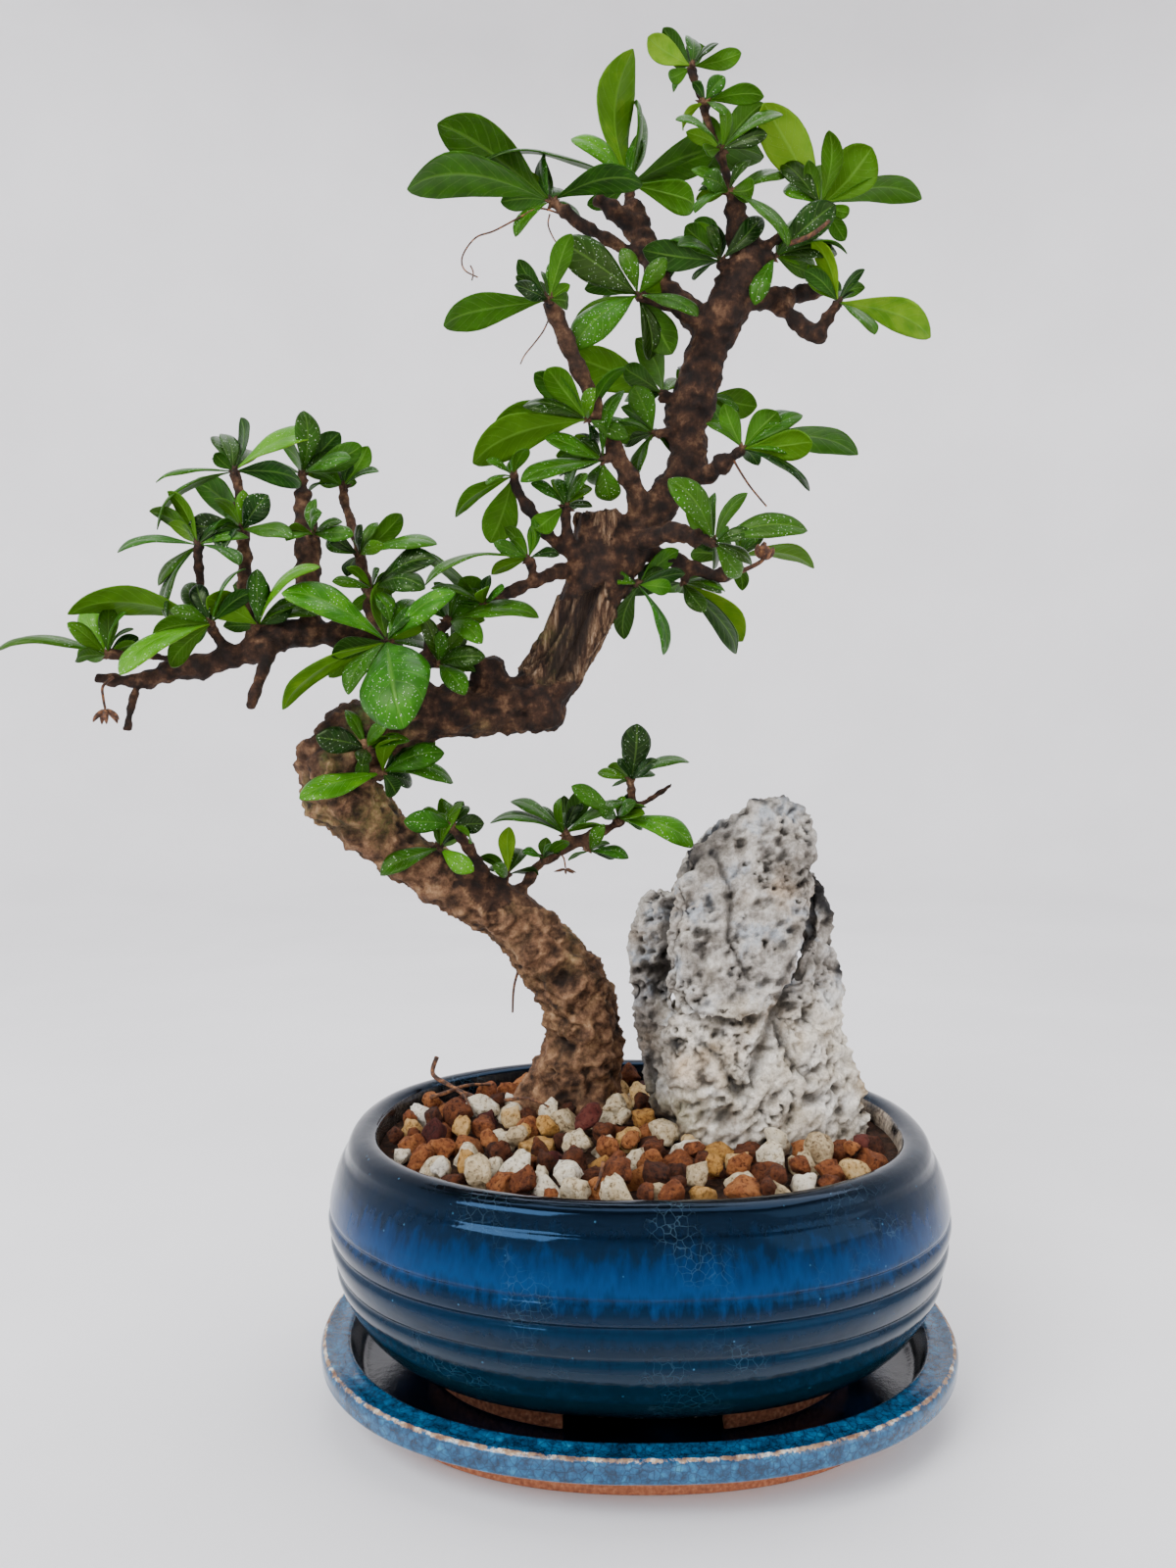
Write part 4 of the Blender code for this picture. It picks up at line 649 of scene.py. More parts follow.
# %% Tufts of leaves
TUFTS = {
    "far_left": ((-167, -14, 161), "-33 -4 2 4 u|-9 6 16 8 u b|8 -6 13 2 u|5 8 9 2 u"
                                   "|-5 -12 -2 3 l"),
    "left_low": ((-136, -11, 171), "-40 -12 3 10 l o|-21 -22 -16 8 u b|-13 10 -6 6 l|10 2 18 4 u"
                                   "|-10 -10 -14 5 l"),
    "left_mid": ((-125, 1, 171), "-13 -12 8 10 l o|2 -8 17 7 u|22 -12 18 6 u b|-12 16 15 6 l"),
    "stem_a_mid": ((-130, 4, 203), "-15 -8 0 9 u d|-2 -16 -9 7 u d|10 -6 10 9 u d|19 -12 -4 7 u"
                                   "|-19 12 18 10 l"),
    "stem_a_top": ((-134, 10, 222), "28 2 13 8 u b|25 -8 -5 8 l d|-5 -4 5 5 l|-24 -6 -4 3 u"
                                    "|-23 -10 -20 3 u"),
    "stem_c_top": ((-141, -7, 195), "-22 -10 -3 5 u|-17 6 12 6 l|-12 -4 -13 5 u|16 -10 -7 3 u"
                                    "|-9 -6 -24 6 u d"),
    "stub_top": ((-112, 12, 219), "21 -4 8 9 l|-18 10 2 5 u|-10 16 13 5 l"),
    "stem_b_top": ((-100, 20, 218), "-12 -4 4 3 l|8 4 14 7 l|13 -6 4 3 u|-13 6 0 3 u"),
    "stub_mid": ((-106, 1, 201), "-7 -8 -3 3 u|5 -12 5 4 u|14 -6 -1 6 u|0 2 12 5 u"),
    "stem_b_mid": ((-93, 12, 195), "15 -4 13 7 l|27 -10 3 5 u|6 6 8 5 l|-12 6 7 7 u"),
    "stem_b_low": ((-88, 7, 184), "22 -8 9 8 u d|19 -14 -1 7 u d|-12 -6 2 4 u|7 -8 -11 4 u"
                                  "|6 14 2 5 l"),
    "bend_face": ((-82, -1, 166), "-30 -14 15 9 u h|23 -12 15 8 u h|10 -34 -27 24 u h"
                                  "|-34 -4 -21 3 l b"
                                  "|-20 4 -11 6 l|-10 -16 -17 7 u"),
    "bend_crown": ((-66, 5, 159), "16 -10 2 8 u d|2 -8 10 6 u|10 -14 -10 7 u"),
    "pad_right": ((-64, 6, 172), "30 -10 1 8 u|12 -2 9 9 u|-10 8 7 5 u|12 -14 -8 7 u"
                                 "|-4 14 11 7 l"),
    "mid_left_knob": ((-36, 6, 194), "-33 -12 -9 4 u|-11 -6 4 5 u|-8 6 11 5 l"),
    "mid_left_tip": ((-49, 3, 179), "-8 4 9 9 l|-21 8 18 5 l|-16 -8 5 3 u|7 -8 5 3 u"),
    "riser_low": ((-10, 12, 228), "-27 -10 -8 7 u|-19 -4 7 7 u|6 -8 21 4 u|3 8 -12 9 u"),
    "riser_mid": ((-15, 8, 241), "-31 6 0 11 l o|-38 -2 -14 12 l o|12 -8 15 4 l|-15 14 13 8 l"),
    "knob_left": ((6, 24, 239), "-21 -14 -1 3 u|-7 -4 15 9 u|-6 -6 -15 4 u"),
    "branch_left": ((11, 28, 253), "-32 4 14 11 l o|-14 -10 6 8 l d|-8 14 23 7 l"),
    "crook_top": ((-41, 8, 220), "5 -6 8 4 l|-8 -6 4 3 u|-8 -8 -4 3 u|-8 6 -21 12 l o"
                                 "|-19 -6 -14 4 l"),
    "crook_side": ((-24, 13, 210), "-11 -8 6 4 u|7 -8 9 4 u|-10 -10 -10 8 l|6 6 19 5 u"),
    "mid_right_tip": ((34, 11, 230), "21 -10 -15 6 u d|21 -14 -1 9 l o|40 8 1 7 l|11 -4 11 10 l"
                                     "|-6 2 15 7 l|-11 8 11 6 u|20 10 15 5 u"),
    "branch_back": ((26, 39, 256), "18 4 -3 11 l|-10 12 12 8 l|8 18 -8 7 l"),
    "low_right_tip": ((23, 3, 199), "29 -8 3 10 u|-15 -8 19 10 u|0 4 17 4 u|-8 10 12 6 l"),
    "low_right_far": ((37, 39, 199), "-2 -6 8 3 u|-18 -10 0 6 l|28 2 -3 5 l o|3 8 -11 5 l"
                                     "|-2 16 13 6 l"),
    "low_right_knob": ((17, 33, 189), "7 -8 -11 7 u d|22 2 -20 10 l y|19 -8 -25 6 l d"
                                      "|16 6 -2 5 u"),
    "trunk_right": ((-1, 20, 187), "11 -6 -2 6 l|9 -8 -24 4 u|14 8 13 6 l"),
    "leader_top": ((18, 18, 358), "-15 -4 7 9 l b|16 -6 1 6 l|-8 -4 -6 5 l|-6 6 -5 3 u"
                                  "|5 12 13 5 l"),
    "leader_mid": ((22, 18, 344), "6 -4 6 6 u|6 6 7 3 l|19 -4 0 4 l|6 -6 -7 4 u|-8 -4 -11 2 l y"),
    "leader_low": ((29, 20, 330), "19 -6 9 5 u|14 4 17 8 l|-6 10 9 4 l"),
    "left_crown": ((-2, 35, 325), "0 -2 44 14 l b|3 8 32 6 u|-20 -4 14 8 u b|29 -6 8 10 l"
                                  "|45 -12 5 7 l|22 -16 -14 7 l|-52 -12 3 7 u d"),
    "left_crown_twig": ((-28, 24, 316), "-37 -6 23 14 l|-47 -12 0 8 l|31 -8 3 5 l|-3 6 18 5 u"
                                        "|-12 -4 -13 5 u|11 8 -3 5 u"),
    "riser_top": ((-29, 1, 275), "-33 -8 -10 8 l|-10 -10 1 6 u d|7 -4 19 6 l|2 4 13 5 u"),
    "crown_spur": ((1, 20, 284), "-26 -12 13 14 u d|-22 -14 -22 12 u|-18 2 3 4 l|9 -8 9 7 u"
                                 "|-21 10 -5 9 l|19 -14 -11 8 u|12 6 -18 12 l"),
    "crown_centre": ((32, 20, 317), "-12 -6 -9 4 u|-9 -8 1 8 u|19 -10 -21 8 u|8 -6 -1 8 l"
                                    "|21 8 10 8 u"),
    "crown_left": ((30, 21, 294), "-13 -8 8 9 l|-15 -14 0 7 u|-26 4 5 10 l d|-7 14 19 7 l"),
    "crown_right": ((45, 21, 297), "18 -10 13 11 u d|24 -2 1 4 u|9 10 14 7 l"),
    "right_high": ((61, 17, 312), "-20 -4 31 15 l y|15 -8 15 16 l o|34 2 4 4 l|8 -8 -6 4 l"
                                  "|-11 8 10 8 u b|6 20 21 9 l"),
    "right_fork_tip": ((67, 19, 280), "-9 -2 20 5 l y|10 6 7 3 l|30 -6 -13 7 l b|10 -12 -14 6 u"),
    "bend_top": ((-89, -1, 131), "-14 -10 4 9 u d|8 -8 8 5 u"),
    "bend_inner": ((-85, 6, 123), "-24 -16 -7 8 u b|21 -6 7 8 u|6 -8 -7 7 l d|23 6 -3 4 u"),
    "lower_top": ((-62, 12, 104), "-15 -8 2 8 u|-11 4 5 6 u|-3 8 8 3 u|11 -4 1 7 u d|7 -8 -5 3 l"),
    "lower_front": ((-67, 13, 97), "-19 -8 -8 7 u|12 -8 -7 7 u b"),
    "sprig_base": ((-46, 25, 85), "0 -2 17 6 l y"),
    "sprig_a": ((-32, 30, 91), "-7 -4 3 2 u|9 -6 7 4 l|1 4 7 5 l"),
    "sprig_b": ((-25, 33, 100), "-26 -4 5 3 u|-19 2 12 3 u|-1 8 7 4 u|14 -8 4 3 l|21 -2 12 3 u"),
    "sprig_c": ((-16, 31, 94), "5 -6 10 5 u|14 -2 -2 4 u"),
    "sprig_d": ((-6, 33, 105), "-16 -4 12 6 u|2 2 8 4 u|10 -6 5 3 l|27 -6 -9 7 u b"),
    "sprig_top": ((-1, 37, 117), "2 -4 20 11 u d|21 2 7 3 u|9 8 2 3 u|-7 -4 -2 2 l"),
}


def on_tree(x, y, height):
    return np.array((x, y, height + GRIT_Z), float)


def read_leaves(text):
    """Leaves as (way to the tip, seen width, faces the front, tone letter)."""
    leaves = []
    for words in (leaf.split() for leaf in text.split("|")):
        x, y, z, width = map(float, words[:4])
        tone = words[5] if len(words) > 5 else "m"
        leaves.append((np.array((x, y, z)), width, words[4] == "u", tone))
    return leaves


print(len(LIMBS) + 1, "limbs,", sum(len(read_leaves(t)) for _, t in TUFTS.values()), "leaves")

# %% [markdown]
# A tuft's bud has to sit on wood. The skeleton is kept in a k-d tree, which finds the nearest of
# many points quickly, and each bud is joined to its nearest limb by a short, knobbly spur: the
# scar of all the leaves that grew there in the years before.

# %% Skeleton of the wood
THINNEST = 0.8  # radius of the thinnest twig


def limb_rows(knots):
    rows = smoothed(knots, 6)
    rows[:, 2] += GRIT_Z
    rows[:, 3] = np.maximum(rows[:, 3], THINNEST)
    return rows


ROUTES = {"trunk": limb_rows(TRUNK)} | {name: limb_rows(knots) for name, knots in LIMBS.items()}
SKELETON = np.concatenate(list(ROUTES.values()))
OWNER = np.concatenate([[name] * len(rows) for name, rows in ROUTES.items()])
BUD_RADIUS = 1.8


def nearest_wood(place):
    """The skeleton row whose bark is closest to a place."""
    away = np.linalg.norm(SKELETON[:, :3] - place, axis=1) - SKELETON[:, 3]
    return SKELETON[np.argmin(away)]


def seat(place):
    """Where a bud sits, and the wood under it."""
    wood = nearest_wood(place)
    outward = place - wood[:3]
    reach = max(np.linalg.norm(outward), wood[3] + BUD_RADIUS + 1)
    if np.linalg.norm(outward) < BUD_RADIUS:
        outward = np.array((0, -1.0, 0))
    return wood[:3] + outward / np.linalg.norm(outward) * reach, wood


SEATS = {name: seat(on_tree(*bud)) for name, (bud, _) in TUFTS.items()}


def knobbly(rows, strength=0.22, every=5.5):
    """The rows with swellings where old leaves and twigs stood."""
    along = np.concatenate([[0], np.cumsum(np.linalg.norm(np.diff(rows[:, :3], axis=0), axis=1))])
    thin = np.clip((7 - rows[:, 3]) / 4, 0, 1)
    phase = CHANCE.uniform(0, 6)
    swell = np.sin(along / every * 2 * math.pi + phase) ** 3 + 0.6 * np.sin(along / every * 3.7)
    rows = rows.copy()
    rows[:, 3] *= 1 + strength * thin * swell
    return rows


def spur_rows(bud, wood):
    """A short stalk with two swollen rings, ending in the tuft's knob."""
    start = wood[:3]
    rows = []
    for share, radius in ((0, 2.2), (0.45, 1.5), (0.6, 2.1), (0.75, 1.4), (0.9, 2.3), (1.0, 1.3)):
        wobble = np.array([CHANCE.uniform(-0.4, 0.4) for _ in range(3)]) * (0 < share < 1)
        rows.append((*(start + (bud - start) * share + wobble), radius))
    return np.array(rows)


# %% [markdown]
# The tubes are welded by a voxel remesh with cells under a millimetre. Bark is then raised from
# the skin in steps from large to small: swellings, wrinkles, cracks. Its depth follows the
# thickness of the wood, so twigs aren't swallowed by it. Round scars of cut branches are rings
# that stand up around a dent. The dead part of the trunk has lost its bark: long fibres run up
# it, with a deep hollow between them, so there the same numbers are stretched along the grain.

# %% Bark relief
SCARS = (  # x, y, height, radius of each cut branch, on the bark that faces the front
    (-24.5, 20.5, 51, 6.8), (-27, 22, 66.5, 3.6), (-19, 22.5, 43.5, 3.0), (-48, 18.5, 73, 5.2),
    (-20, 23, 30.5, 4.6), (-36, 19, 60, 3.2), (-73, 11, 96, 3.6), (-95, 4, 112, 4.8),
    (-104, 3, 125, 4.2), (-88, 2, 134, 4.0), (-58, 6, 141, 3.4), (-38, 11, 142, 4.2),
    (-10, 25, 18, 4.0), (-30, 26, 16, 3.6), (-66, 31, 96, 4.4), (-38, 44, 58, 5.0),
    (-98, 25, 120, 4.6), (-60, 25, 148, 4.0),
)
DEAD_FOOT, DEAD_TOP = 147, 212  # heights between which the trunk is dead


def make_wood():
    rows = [knobbly(rows) for rows in ROUTES.values()]
    rows += [spur_rows(bud, wood) for bud, wood in SEATS.values()]
    mesh = modified(tubes("wood", rows),
                    ("REMESH", {"mode": "VOXEL", "voxel_size": 0.86 * MM}),
                    ("SMOOTH", {"factor": 0.5, "iterations": 3}))
    points, out = points_of(mesh), normals_of(mesh)
    finder = kdtree.KDTree(len(SKELETON))
    for number, row in enumerate(SKELETON):
        finder.insert(row[:3], number)
    finder.balance()
    near = np.array([finder.find(p)[1] for p in points])
    radius = SKELETON[near, 3]
    away = np.linalg.norm(points - SKELETON[near, :3], axis=1)
    thick = np.clip(radius / 10, 0.24, 1.3)
    on_trunk = OWNER[near] == "trunk"
    height = points[:, 2] - GRIT_Z
    dead = (on_trunk * np.clip((height - DEAD_FOOT) / 9, 0, 1)
            * np.clip((DEAD_TOP + 6 - height) / 3, 0, 1))

    lumps = unevenness(points, 13, 3, 1)
    wrinkles = unevenness(points * (1, 1, 1.3), 4.6, 4, 2)
    cracks = -np.abs(unevenness(points * (1, 1, 1.5), 6.5, 5, 3))
    raised = thick * (1.9 * lumps + 1.2 * wrinkles + 1.5 * cracks + 0.3)

    # The grain of the dead wood leans with the trunk, from lower left to upper right. Two grooves
    # run up it: a deep one that twists, and a shallower one to its left
    grain = np.array((0.36, 0.04, 0.93))
    across = points - np.outer(points @ grain, grain) * 0.93
    fibres = unevenness(across, 2.3, 4, 4)
    core = SKELETON[near, :3]
    side = (points - core) @ np.array((0.93, 0, -0.36))
    front = np.clip((core - points)[:, 1] / radius, 0, 1)
    twist = 2.2 * np.sin(height / 11) + 2.0
    hollow = np.exp(-((side - twist) / 3.0) ** 2) * front
    hollow *= np.clip((height - 150) / 10, 0, 1) * np.clip((DEAD_TOP - 9 - height) / 8, 0, 1)
    second = np.exp(-((side + 5.5) / 1.8) ** 2) * front * np.clip((height - 160) / 8, 0, 1)
    bare = 1.7 * fibres - 6.0 * hollow - 2.4 * second + 0.4
    raised = raised * (1 - dead) + bare * dead

    # A scar is two rings of new bark round a dent
    scar_dent = np.zeros(len(points))
    for x, y, z, size in SCARS:
        d = np.linalg.norm(points - on_tree(x, y, z), axis=1) / size
        raised += size * 0.36 * np.exp(-((d - 0.95) / 0.26) ** 2)
        raised += size * 0.18 * np.exp(-((d - 0.45) / 0.14) ** 2)
        dent = np.exp(-(d / 0.32) ** 2)
        raised -= size * 0.34 * dent
        scar_dent = np.maximum(scar_dent, dent + 0.5 * np.exp(-((d - 0.68) / 0.1) ** 2))
    twig = np.clip((5 - radius) / 3, 0, 1)
    raised = raised * (1 - twig * 0.35) + twig * 0.30 * unevenness(points, 2.2, 3, 6)
    raised = np.maximum(raised, -0.5 * away)
    points = points + out * raised[:, None]
    move_points(mesh, points)

    # Four numbers for the material: dead wood, painted shade in the hollows, cracks and scar
    # dents, pale old bark, and moss on the damp side
    mark(mesh, "dead", dead)
    mark(mesh, "hollow", np.clip(np.maximum.reduce([
        (-cracks * 1.9 - 0.62) * (1 - dead), (hollow + second * 0.7) * dead, scar_dent,
        np.clip(-fibres, 0, 1) * dead * 1.2, np.clip(-raised / 3, 0, 1)]), 0, 1))
    old = on_trunk | np.isin(OWNER[near], ["root flare left", "root flare front",
                                           "root flare right"])
    tan = np.where(old, np.clip((148 - height) / 40, 0.0, 1), 0.0)
    tan = np.where(OWNER[near] == "sprig", 0.30, tan)
    tan = np.where(np.isin(OWNER[near], ["pad stem a", "pad stub", "pad stem b", "riser"]),
                   0.22, tan)
    mark(mesh, "tan", tan)
    damp = np.clip(unevenness(points, 16, 3, 8) * 1.6 + 0.1, 0, 1)
    belt = np.exp(-((height - 128) / 34) ** 2) + 0.35 * np.exp(-((height - 60) / 30) ** 2)
    lit = np.clip(0.55 + out[:, 2] * 0.5 - out[:, 0] * 0.35, 0, 1)
    mark(mesh, "moss", np.clip(damp * belt * lit * old * 1.6, 0, 1))
    print(f"bark stands {raised.min():.1f} to {raised.max():.1f} mm from the smooth wood")
    return mesh


# %% [markdown]
# Bark is old skin that dries, splits and weathers: it is pale tan on what stands out, and the
# cracks are painted dark as shade. Green algae and moss live on the damp, sunny side of the bend.
# The crown's wood is younger and a dark red-brown. The dead wood has greyed outside, and its
# hollow is painted brown-black as shade. All of it is dry and dull: high roughness, and no sheen.

# %% Bark
def make_bark():
    finish, tree, shader = new_finish("weathered bark", Roughness=0.9)
    shader.inputs["Specular IOR Level"].default_value = 0.3
    place = millimetres(tree)
    marks = {name: add(tree, "Attribute", {"attribute_name": name}).outputs["Fac"]
             for name in ("dead", "hollow", "tan", "moss")}
    flakes = add(tree, "TexNoise", {"Vector": place, "Scale": 1 / 5, "Detail": 8,
                                    "Roughness": 0.68})
    fine = add(tree, "TexNoise", {"Vector": place, "Scale": 1 / 1.3, "Detail": 6,
                                  "Roughness": 0.7})
    pale = add(tree, "ValToRGB", {"Fac": flakes, "stops": [
        (0.32, "#23140c"), (0.42, "#46301f"), (0.52, "#6b4c36"), (0.64, "#977453"),
        (0.76, "#c5a682")]})
    young = add(tree, "ValToRGB", {"Fac": flakes, "stops": [
        (0.32, "#0c0604"), (0.44, "#1f120b"), (0.55, "#382316"), (0.66, "#60442f"),
        (0.78, "#947556")]})
    colour = add(tree, "MixRGB", {"Fac": marks["tan"], "Color1": young, "Color2": pale})
    grain_place = add(tree, "VectorMath", {"operation": "MULTIPLY", 0: place,
                                           1: (1, 1, 0.12)})
    grain = add(tree, "TexNoise", {"Vector": grain_place, "Scale": 1 / 1.4, "Detail": 6,
                                   "Roughness": 0.65})
    bare = add(tree, "ValToRGB", {"Fac": grain, "stops": [
        (0.30, "#0d0705"), (0.42, "#2e1c13"), (0.54, "#604732"), (0.66, "#957c62"),
        (0.80, "#b7a38c")]})
    colour = add(tree, "MixRGB", {"Fac": marks["dead"], "Color1": colour, "Color2": bare})
    speck = add(tree, "MapRange", {"Value": fine, "From Min": 0.35, "From Max": 0.6})
    green = add(tree, "Math", {"operation": "MULTIPLY", 0: speck, 1: marks["moss"]})
    moss = add(tree, "ValToRGB", {"Fac": flakes, "stops": [
        (0.3, "#2c3312"), (0.55, "#4d5a22"), (0.75, "#7d8248")]})
    colour = add(tree, "MixRGB", {"Fac": green, "Color1": colour, "Color2": moss})
    # Painted shade: the cracks, hollows and scar dents are darkened towards near black
    dark = add(tree, "MapRange", {"Value": marks["hollow"], "From Min": 0.12, "From Max": 0.75,
                                  "To Max": 0.88})
    colour = add(tree, "MixRGB", {"Fac": dark, "Color1": colour, "Color2": "#150d09"})
    tree.links.new(colour.outputs[0], shader.inputs["Base Color"])
    deep = add(tree, "Bump", {"Height": flakes, "Distance": 0.0011, "Strength": 0.75})
    skin = add(tree, "Bump", {"Height": fine, "Distance": 0.0005, "Strength": 0.7,
                              "Normal": deep})
    tree.links.new(skin.outputs[0], shader.inputs["Normal"])
    return finish


BARK = make_bark()
piece("weathered_wood", make_wood(), [BARK], ["tree"])

# %% [markdown]
# ## The rock
#
# The stone is a pitted volcanic limestone of several masses: a leaning slab, a lobe to its left
# with a cave between them, a ridge behind to the right, and a broad foot. Each mass is the
# convex hull, which is the tightest skin without dents, of a few typed corners. A voxel remesh
# fuses them, and where the slab overhangs the foot a crack is cut, darkened with painted shade.

# %% Masses of the rock
ROCK_MASSES = (  # corners as x, y, height above the grit
    (  # leaning slab
        (12, 2, 86), (16, 5, 95), (20, 6, 99), (27, 6, 106), (39, 8, 113), (48, 9, 115),
        (55, 10, 112), (60, 9, 105), (60, 6, 97), (58, 2, 88), (59, 0, 82), (56, -4, 73),
        (51, -9, 60), (44, -12, 53), (38, -14, 46), (30, -15, 44), (20, -14, 44), (13, -11, 47),
        (10, -9, 53), (10, -6, 68), (11, -1, 78), (14, 30, 84), (24, 30, 99), (46, 30, 110),
        (57, 28, 104), (56, 30, 82), (48, 30, 52), (14, 30, 50),
    ),
    (  # left lobe
        (-3, 12, 56), (-2, 14, 67), (2, 14, 78), (6, 13, 83), (13, 12, 83), (14, 8, 66),
        (13, 9, 44), (8, 10, 30), (3, 13, 28), (-2, 13, 41), (0, 36, 60), (4, 36, 78),
        (14, 36, 76), (4, 34, 30),
    ),
    (  # dark ridge behind the slab
        (57, 12, 90), (61, 10, 88), (64, 12, 84), (68, 14, 72), (69, 16, 62), (62, 8, 60),
        (56, 14, 60), (60, 32, 84), (66, 30, 66), (56, 32, 60),
    ),
    (  # right shoulder
        (55, 2, 66), (58, 3, 69), (66, 6, 65), (70, 9, 58), (71, 9, 46), (69, 3, 38),
        (60, -4, 37), (53, -6, 42), (53, 0, 56), (66, 28, 62), (70, 28, 40), (52, 28, 40),
    ),
    (  # foot
        (7, -4, 38), (9, -6, 44), (20, -7, 47), (38, -7, 50), (50, -3, 56), (62, 2, 50),
        (69, 6, 42), (71, 7, 31), (74, 7, 21), (78, 6, 13), (80, 6, 4), (79, 6, -5),
        (66, -4, -5), (52, -9, -5), (36, -12, -5), (20, -9, -5), (15, -5, -5), (12, -7, 10),
        (11, -8, 22), (8, -6, 30), (34, -12.5, 22), (54, -9, 18), (20, -11, 26),
        (12, 34, 40), (40, 42, 40), (64, 34, 40), (74, 26, 12), (72, 26, -5), (40, 38, -5),
        (18, 30, -5), (14, 32, 16),
    ),
    (  # low left, in the shade
        (0, 12, 42), (-1, 14, 34), (2, 14, 18), (6, 10, 4), (12, 2, -5), (14, 0, 10), (12, 2, 36),
        (4, 32, 40), (6, 32, 6), (14, 30, -5), (14, 30, 40),
    ),
)
ROCK_CRACKS = (  # half width, depth, and the line as x, height: cut back from the front
    (2.6, 4.5, ((63, 103), (61, 82), (54, 60), (46, 45), (37, 26))),
    (2.0, 3.5, ((9, 52), (17, 46), (27, 43), (36, 44))),
    (2.4, 4.0, ((12, 84), (9, 66), (8, 48))),
    (1.2, 2.2, ((26, 96), (31, 84), (29, 70), (35, 58))),
    (1.3, 2.4, ((46, 42), (50, 30), (57, 22))),
    (1.1, 2.0, ((20, 36), (27, 30), (31, 20))),
)
ROCK_HOLES = (  # x, y, height, radius, depth of each cave or hole
    (5.5, 6, 54, 6.0, 9), (8.5, 4, 45, 4.5, 8), (3.5, 8, 64, 4.0, 5), (32, -12, 20.5, 3.2, 6),
    (30, -11.5, 23.5, 2.0, 4), (27, -12, 17.5, 1.4, 3), (36.5, -12.5, 22.5, 1.6, 3),
    (31, 7, 92, 3.4, 5), (27, 7, 94.5, 2.2, 4), (20, -5, 65, 3.2, 5), (31.5, -4, 69, 3.0, 5),
    (36, -5, 65, 2.0, 4), (33, -4, 73, 1.8, 3), (41, 0, 82, 1.6, 3), (45, 1, 86, 1.3, 3),
    (38, 1, 79, 1.4, 3), (57, 11, 92, 2.4, 5), (44, 8, 97, 1.4, 3), (49, 8, 101, 1.5, 3),
    (36, 9, 103, 1.3, 2.5), (24, 3, 80, 1.4, 3), (52, 8, 92, 1.3, 2.5), (16, -1, 58, 1.6, 3),
    (61, 3, 52, 2.6, 5), (56, -3, 44, 2.4, 4), (65, 6, 60, 1.8, 3), (47, -8, 38, 1.8, 3),
    (66, 0, 18, 2.2, 3), (70, 4, 11, 2.4, 3), (44, -11, 28, 1.4, 2.5), (26, 16, 101, 2, 3),
)
ROCK_CRUST_AND_SHADE = (  # x, y, height, radius of each patch painted near black: the crust, and painted shade on the ridge behind the slab
    (24, 12, 102, 7), (17, 10, 96, 6), (42, 13, 116, 6), (52, 14, 113, 5), (64, 12, 83, 6),
    (62, 11, 87, 6), (58, 13, 93, 4), (66, 14, 76, 4), (13, -6, 34, 3), (70, 8, 57, 3),
)


def hull(name, corners):
    bm = bmesh.new()
    for corner in corners:
        bm.verts.new(on_tree(*corner) * MM)
    bmesh.ops.convex_hull(bm, input=bm.verts)
    mesh = bpy.data.meshes.new(name)
    bm.to_mesh(mesh)
    bm.free()
    return mesh


# %% [markdown]
# The surface of such a stone is rough at every size. Ridged noise, which is noise with its sign
# taken away, makes sharp valleys; plain noise makes swellings; and small round pits are opened
# only inside patches, because gas or water worked on some beds and not on others. The beds lean
# with the slab, so the noise is squeezed across them. The largest caves and the long cracks are
# typed, and the noise makes their edges ragged.

# %% Relief of the rock
def from_line(x, z, line):
    """How far each place, seen from the front, is from a line with corners."""
    nearest = np.full(len(x), 1e9)
    for (x0, z0), (x1, z1) in zip(line, line[1:]):
        long_x, long_z = x1 - x0, z1 - z0
        share = ((x - x0) * long_x + (z - z0) * long_z) / (long_x ** 2 + long_z ** 2)
        share = np.clip(share, 0, 1)
        nearest = np.minimum(nearest, np.hypot(x - x0 - share * long_x, z - z0 - share * long_z))
    return nearest


